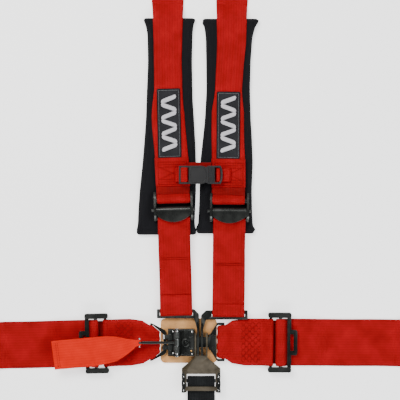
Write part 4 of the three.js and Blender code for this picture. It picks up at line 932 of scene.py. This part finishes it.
# A round head: rings whose height rises evenly while the radius falls as the square root of what is left,
# closed by a small flat face.
def domedHead(name, x, y, z, radius, height, material, body, sides=24, rings=7):
    s = np.linspace(0, 1, rings)[:, None]
    t = np.linspace(0, 2 * pi, sides, endpoint=False)[None, :]
    reach = radius * np.sqrt(1 - s ** 2 * 0.985)
    points = np.stack(np.broadcast_arrays(x + reach * np.cos(t), y + reach * np.sin(t), z + height * s),
                      axis=-1)
    foot = points[:1] - [0, 0, 0.6]
    points = np.concatenate([foot, points]).reshape(-1, 3)
    faces = gridFaces(rings + 1, sides)
    faces += [list(range(sides))[::-1], [rings * sides + k for k in range(sides)]]
    return finish(name, points * mm, faces, material, body)


# The two corners of a frame piece's box, in millimetres.
def corners(node):
    return (np.array(corner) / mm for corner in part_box(node))


# A straight round rod from one point to another.
def rod(name, start, end, radius, material, body, sides=10, step=0.8):
    tube(name, evenLine(np.array([start, end]), step, 0), radius, material, body, sides)


keeperLow, keeperHigh = corners("latch_keeper")
latchLow, latchHigh = corners("latch_base")
hookX, hookY = (keeperLow[0] + keeperHigh[0]) / 2, (keeperLow[1] + keeperHigh[1]) / 2
coverTop, ribZ, knuckleZ = 15.4, 15.6, 11.4
tube("keeper_ring", openRing(hookX, hookY, keeperHigh[2] - 0.2, 5.9, 30, 330, 44), 1.15, blackSteel,
     "latch_keeper", 12)
domedHead("keeper_boss", hookX, hookY, keeperHigh[2] - 1.4, 2.6, 0.9, blackSteel, "latch_keeper")
domedHead("latch_brass_rivet", latchHigh[0] - 4.6, hookY - 13.6, coverTop, 1.7, 0.9, brassMetal, "harness")
for index, (dx, dy) in enumerate([(-3.4, 17.2), (-3.4, -18.4), (-34.0, 17.4), (-34.0, -17.4)]):
    domedHead(f"latch_rivet_{index}", latchHigh[0] + dx, hookY + dy, coverTop, 1.5, 0.7, zincSteel, "harness")
for index, sign in enumerate((-1, 1)):
    y = hookY + sign * 9.0
    rod(f"latch_cover_rib_{index}", [latchHigh[0] - 9, y, ribZ], [latchHigh[0] - 1.4, y, ribZ],
        0.9, blackSteel, "harness")
    y = hookY + sign * 12.5
    rod(f"latch_side_rib_{index}", [latchLow[0] + 10.5, y, ribZ], [latchLow[0] + 14.5, y, ribZ],
        1.0, blackSteel, "harness")
    x = latchLow[0] + 2.0
    rod(f"latch_knuckle_{index}", [x, hookY + sign * 4.6, knuckleZ], [x, hookY + sign * 12.4, knuckleZ],
        1.9, zincSteel if sign > 0 else blackSteel, "harness", 14)

# The adjuster at the sub belt: toothed side plates over the bronze cheeks, each with three rivets.
linkLow, linkHigh = corners("sub_link")
cheekSteps = [(0, 0), (5.2, 0), (6.6, 3), (5.4, 6), (7.2, 9), (7.2, 15), (5.2, 18), (6.8, 22), (6.2, 28),
              (3.4, 33), (0.6, 31), (0, 26), (1.6, 22), (0, 18), (0, 12), (1.4, 9), (0, 5)]
cheekLow, cheekTop = 14.6, 16.2
for side, sign, x in (("left", 1, linkLow[0] - 0.4), ("right", -1, linkHigh[0] + 0.4)):
    low = linkLow[1] - 0.4
    outline = [(x + sign * dx, low + dy) for dx, dy in cheekSteps]
    stamping(f"sub_cheek_plate_{side}", outline, cheekLow, cheekTop, blackSteel, "harness", 0.45)
    for index, dy in enumerate((4.0, 15.5, 26.0)):
        domedHead(f"sub_cheek_rivet_{side}_{index}", x + sign * 3.4, low + dy, cheekTop - 0.1, 1.15, 0.7,
                  zincSteel, "harness", 16, 5)

# Chest buckle: grip ribs and a bowed end bar on the plug, and a raised rim on the socket.
plugHigh, socketHigh = list(corners("chest_buckle_plug"))[1], list(corners("chest_buckle_socket"))[1]
reach = 12.6
for index, x in enumerate((15.6, 18.0, 20.4, 22.8)):
    rod(f"plug_rib_{index}", [x, chestY - reach + 0.6 * index, plugHigh[2] + 0.1],
        [x, chestY + reach - 0.6 * index, plugHigh[2] + 0.1], 0.62, blackPlastic, "chest_plug", 10, 1.0)
turn = np.linspace(-1.45, 1.45, 30)
endBar = np.column_stack([plugHigh[0] - 2.2 + 3.4 * np.cos(turn), chestY + reach * np.sin(turn),
                          np.full(30, 24.4)])
tube("plug_end_bar", endBar, 1.9, blackPlastic, "chest_plug", 12)
socketRim = np.array([(-15.5, -11.8), (6, -11.8), (9.5, -7), (10.5, 0), (9.5, 7), (6, 11.8), (-15.5, 11.8),
                      (-15.5, -11.8)])
socketRim = np.column_stack([socketRim[:, 0], socketRim[:, 1] + chestY, np.full(8, socketHigh[2] + 0.05)])
tube("socket_rim", evenLine(socketRim, 0.8, 6)[:-1], 0.6, blackPlastic, "harness", 8, True)
print("hard pieces ready")

# The floor, the sky and three soft lights.
floorMaterial, floorTree, floorShader = newMaterial("paleFloor", **{"Roughness": 0.9,
                                                                    "Emission Color": (1.0, 1.0, 1.0, 1.0),
                                                                    "Emission Strength": 1.1})
floorPlace = addNode(floorTree, "ShaderNodeTexCoord").outputs["Object"]
floorTint = ramp(floorTree, noiseAt(floorTree, floorPlace, 3.0),
                 [(0.3, (0.95, 0.95, 0.95)), (0.7, (0.97, 0.97, 0.97))])
floorTree.links.new(floorTint, floorShader.inputs["Base Color"])
floorHalf = 4.0
floorCorners = [(-1, -1), (1, -1), (1, 1), (-1, 1)]
floorData = bpy.data.meshes.new("floor")
floorData.from_pydata([(x * floorHalf, y * floorHalf, 0) for x, y in floorCorners], [], [(0, 1, 2, 3)])
floorData.materials.append(floorMaterial)
floor = bpy.data.objects.new("floor", floorData)
scene.collection.objects.link(floor)
floor.location.z = -0.0008

world = bpy.data.worlds.new("studio")
scene.world = world
world.use_nodes = True
sky = world.node_tree.nodes["Background"]
sky.inputs["Color"].default_value = (0.95, 0.97, 1.0, 1.0)
sky.inputs["Strength"].default_value = 0.3


# A rectangular light that faces the middle of the harness.
def softbox(name, place, size, power, colour=(1, 1, 1)):
    light = bpy.data.lights.new(name, "AREA")
    light.shape = "RECTANGLE"
    light.size, light.size_y = size
    light.energy = power
    light.color = colour
    holder = bpy.data.objects.new(name, light)
    scene.collection.objects.link(holder)
    holder.location = place
    facing = -np.array(place, float)
    tilt, turned = atan2(np.hypot(facing[0], facing[1]), -facing[2]), atan2(-facing[0], facing[1])
    holder.rotation_euler = (tilt, 0, turned)


softbox("keyLight", (-0.7, 0.9, 1.5), (1.2, 0.9), 44, (1, 0.985, 0.96))
softbox("fillLight", (1.2, -0.3, 1.3), (1.2, 1.2), 17, (0.95, 0.98, 1))
softbox("rimLight", (0.1, -1.4, 0.9), (1.4, 0.4), 14)
print("stage ready")
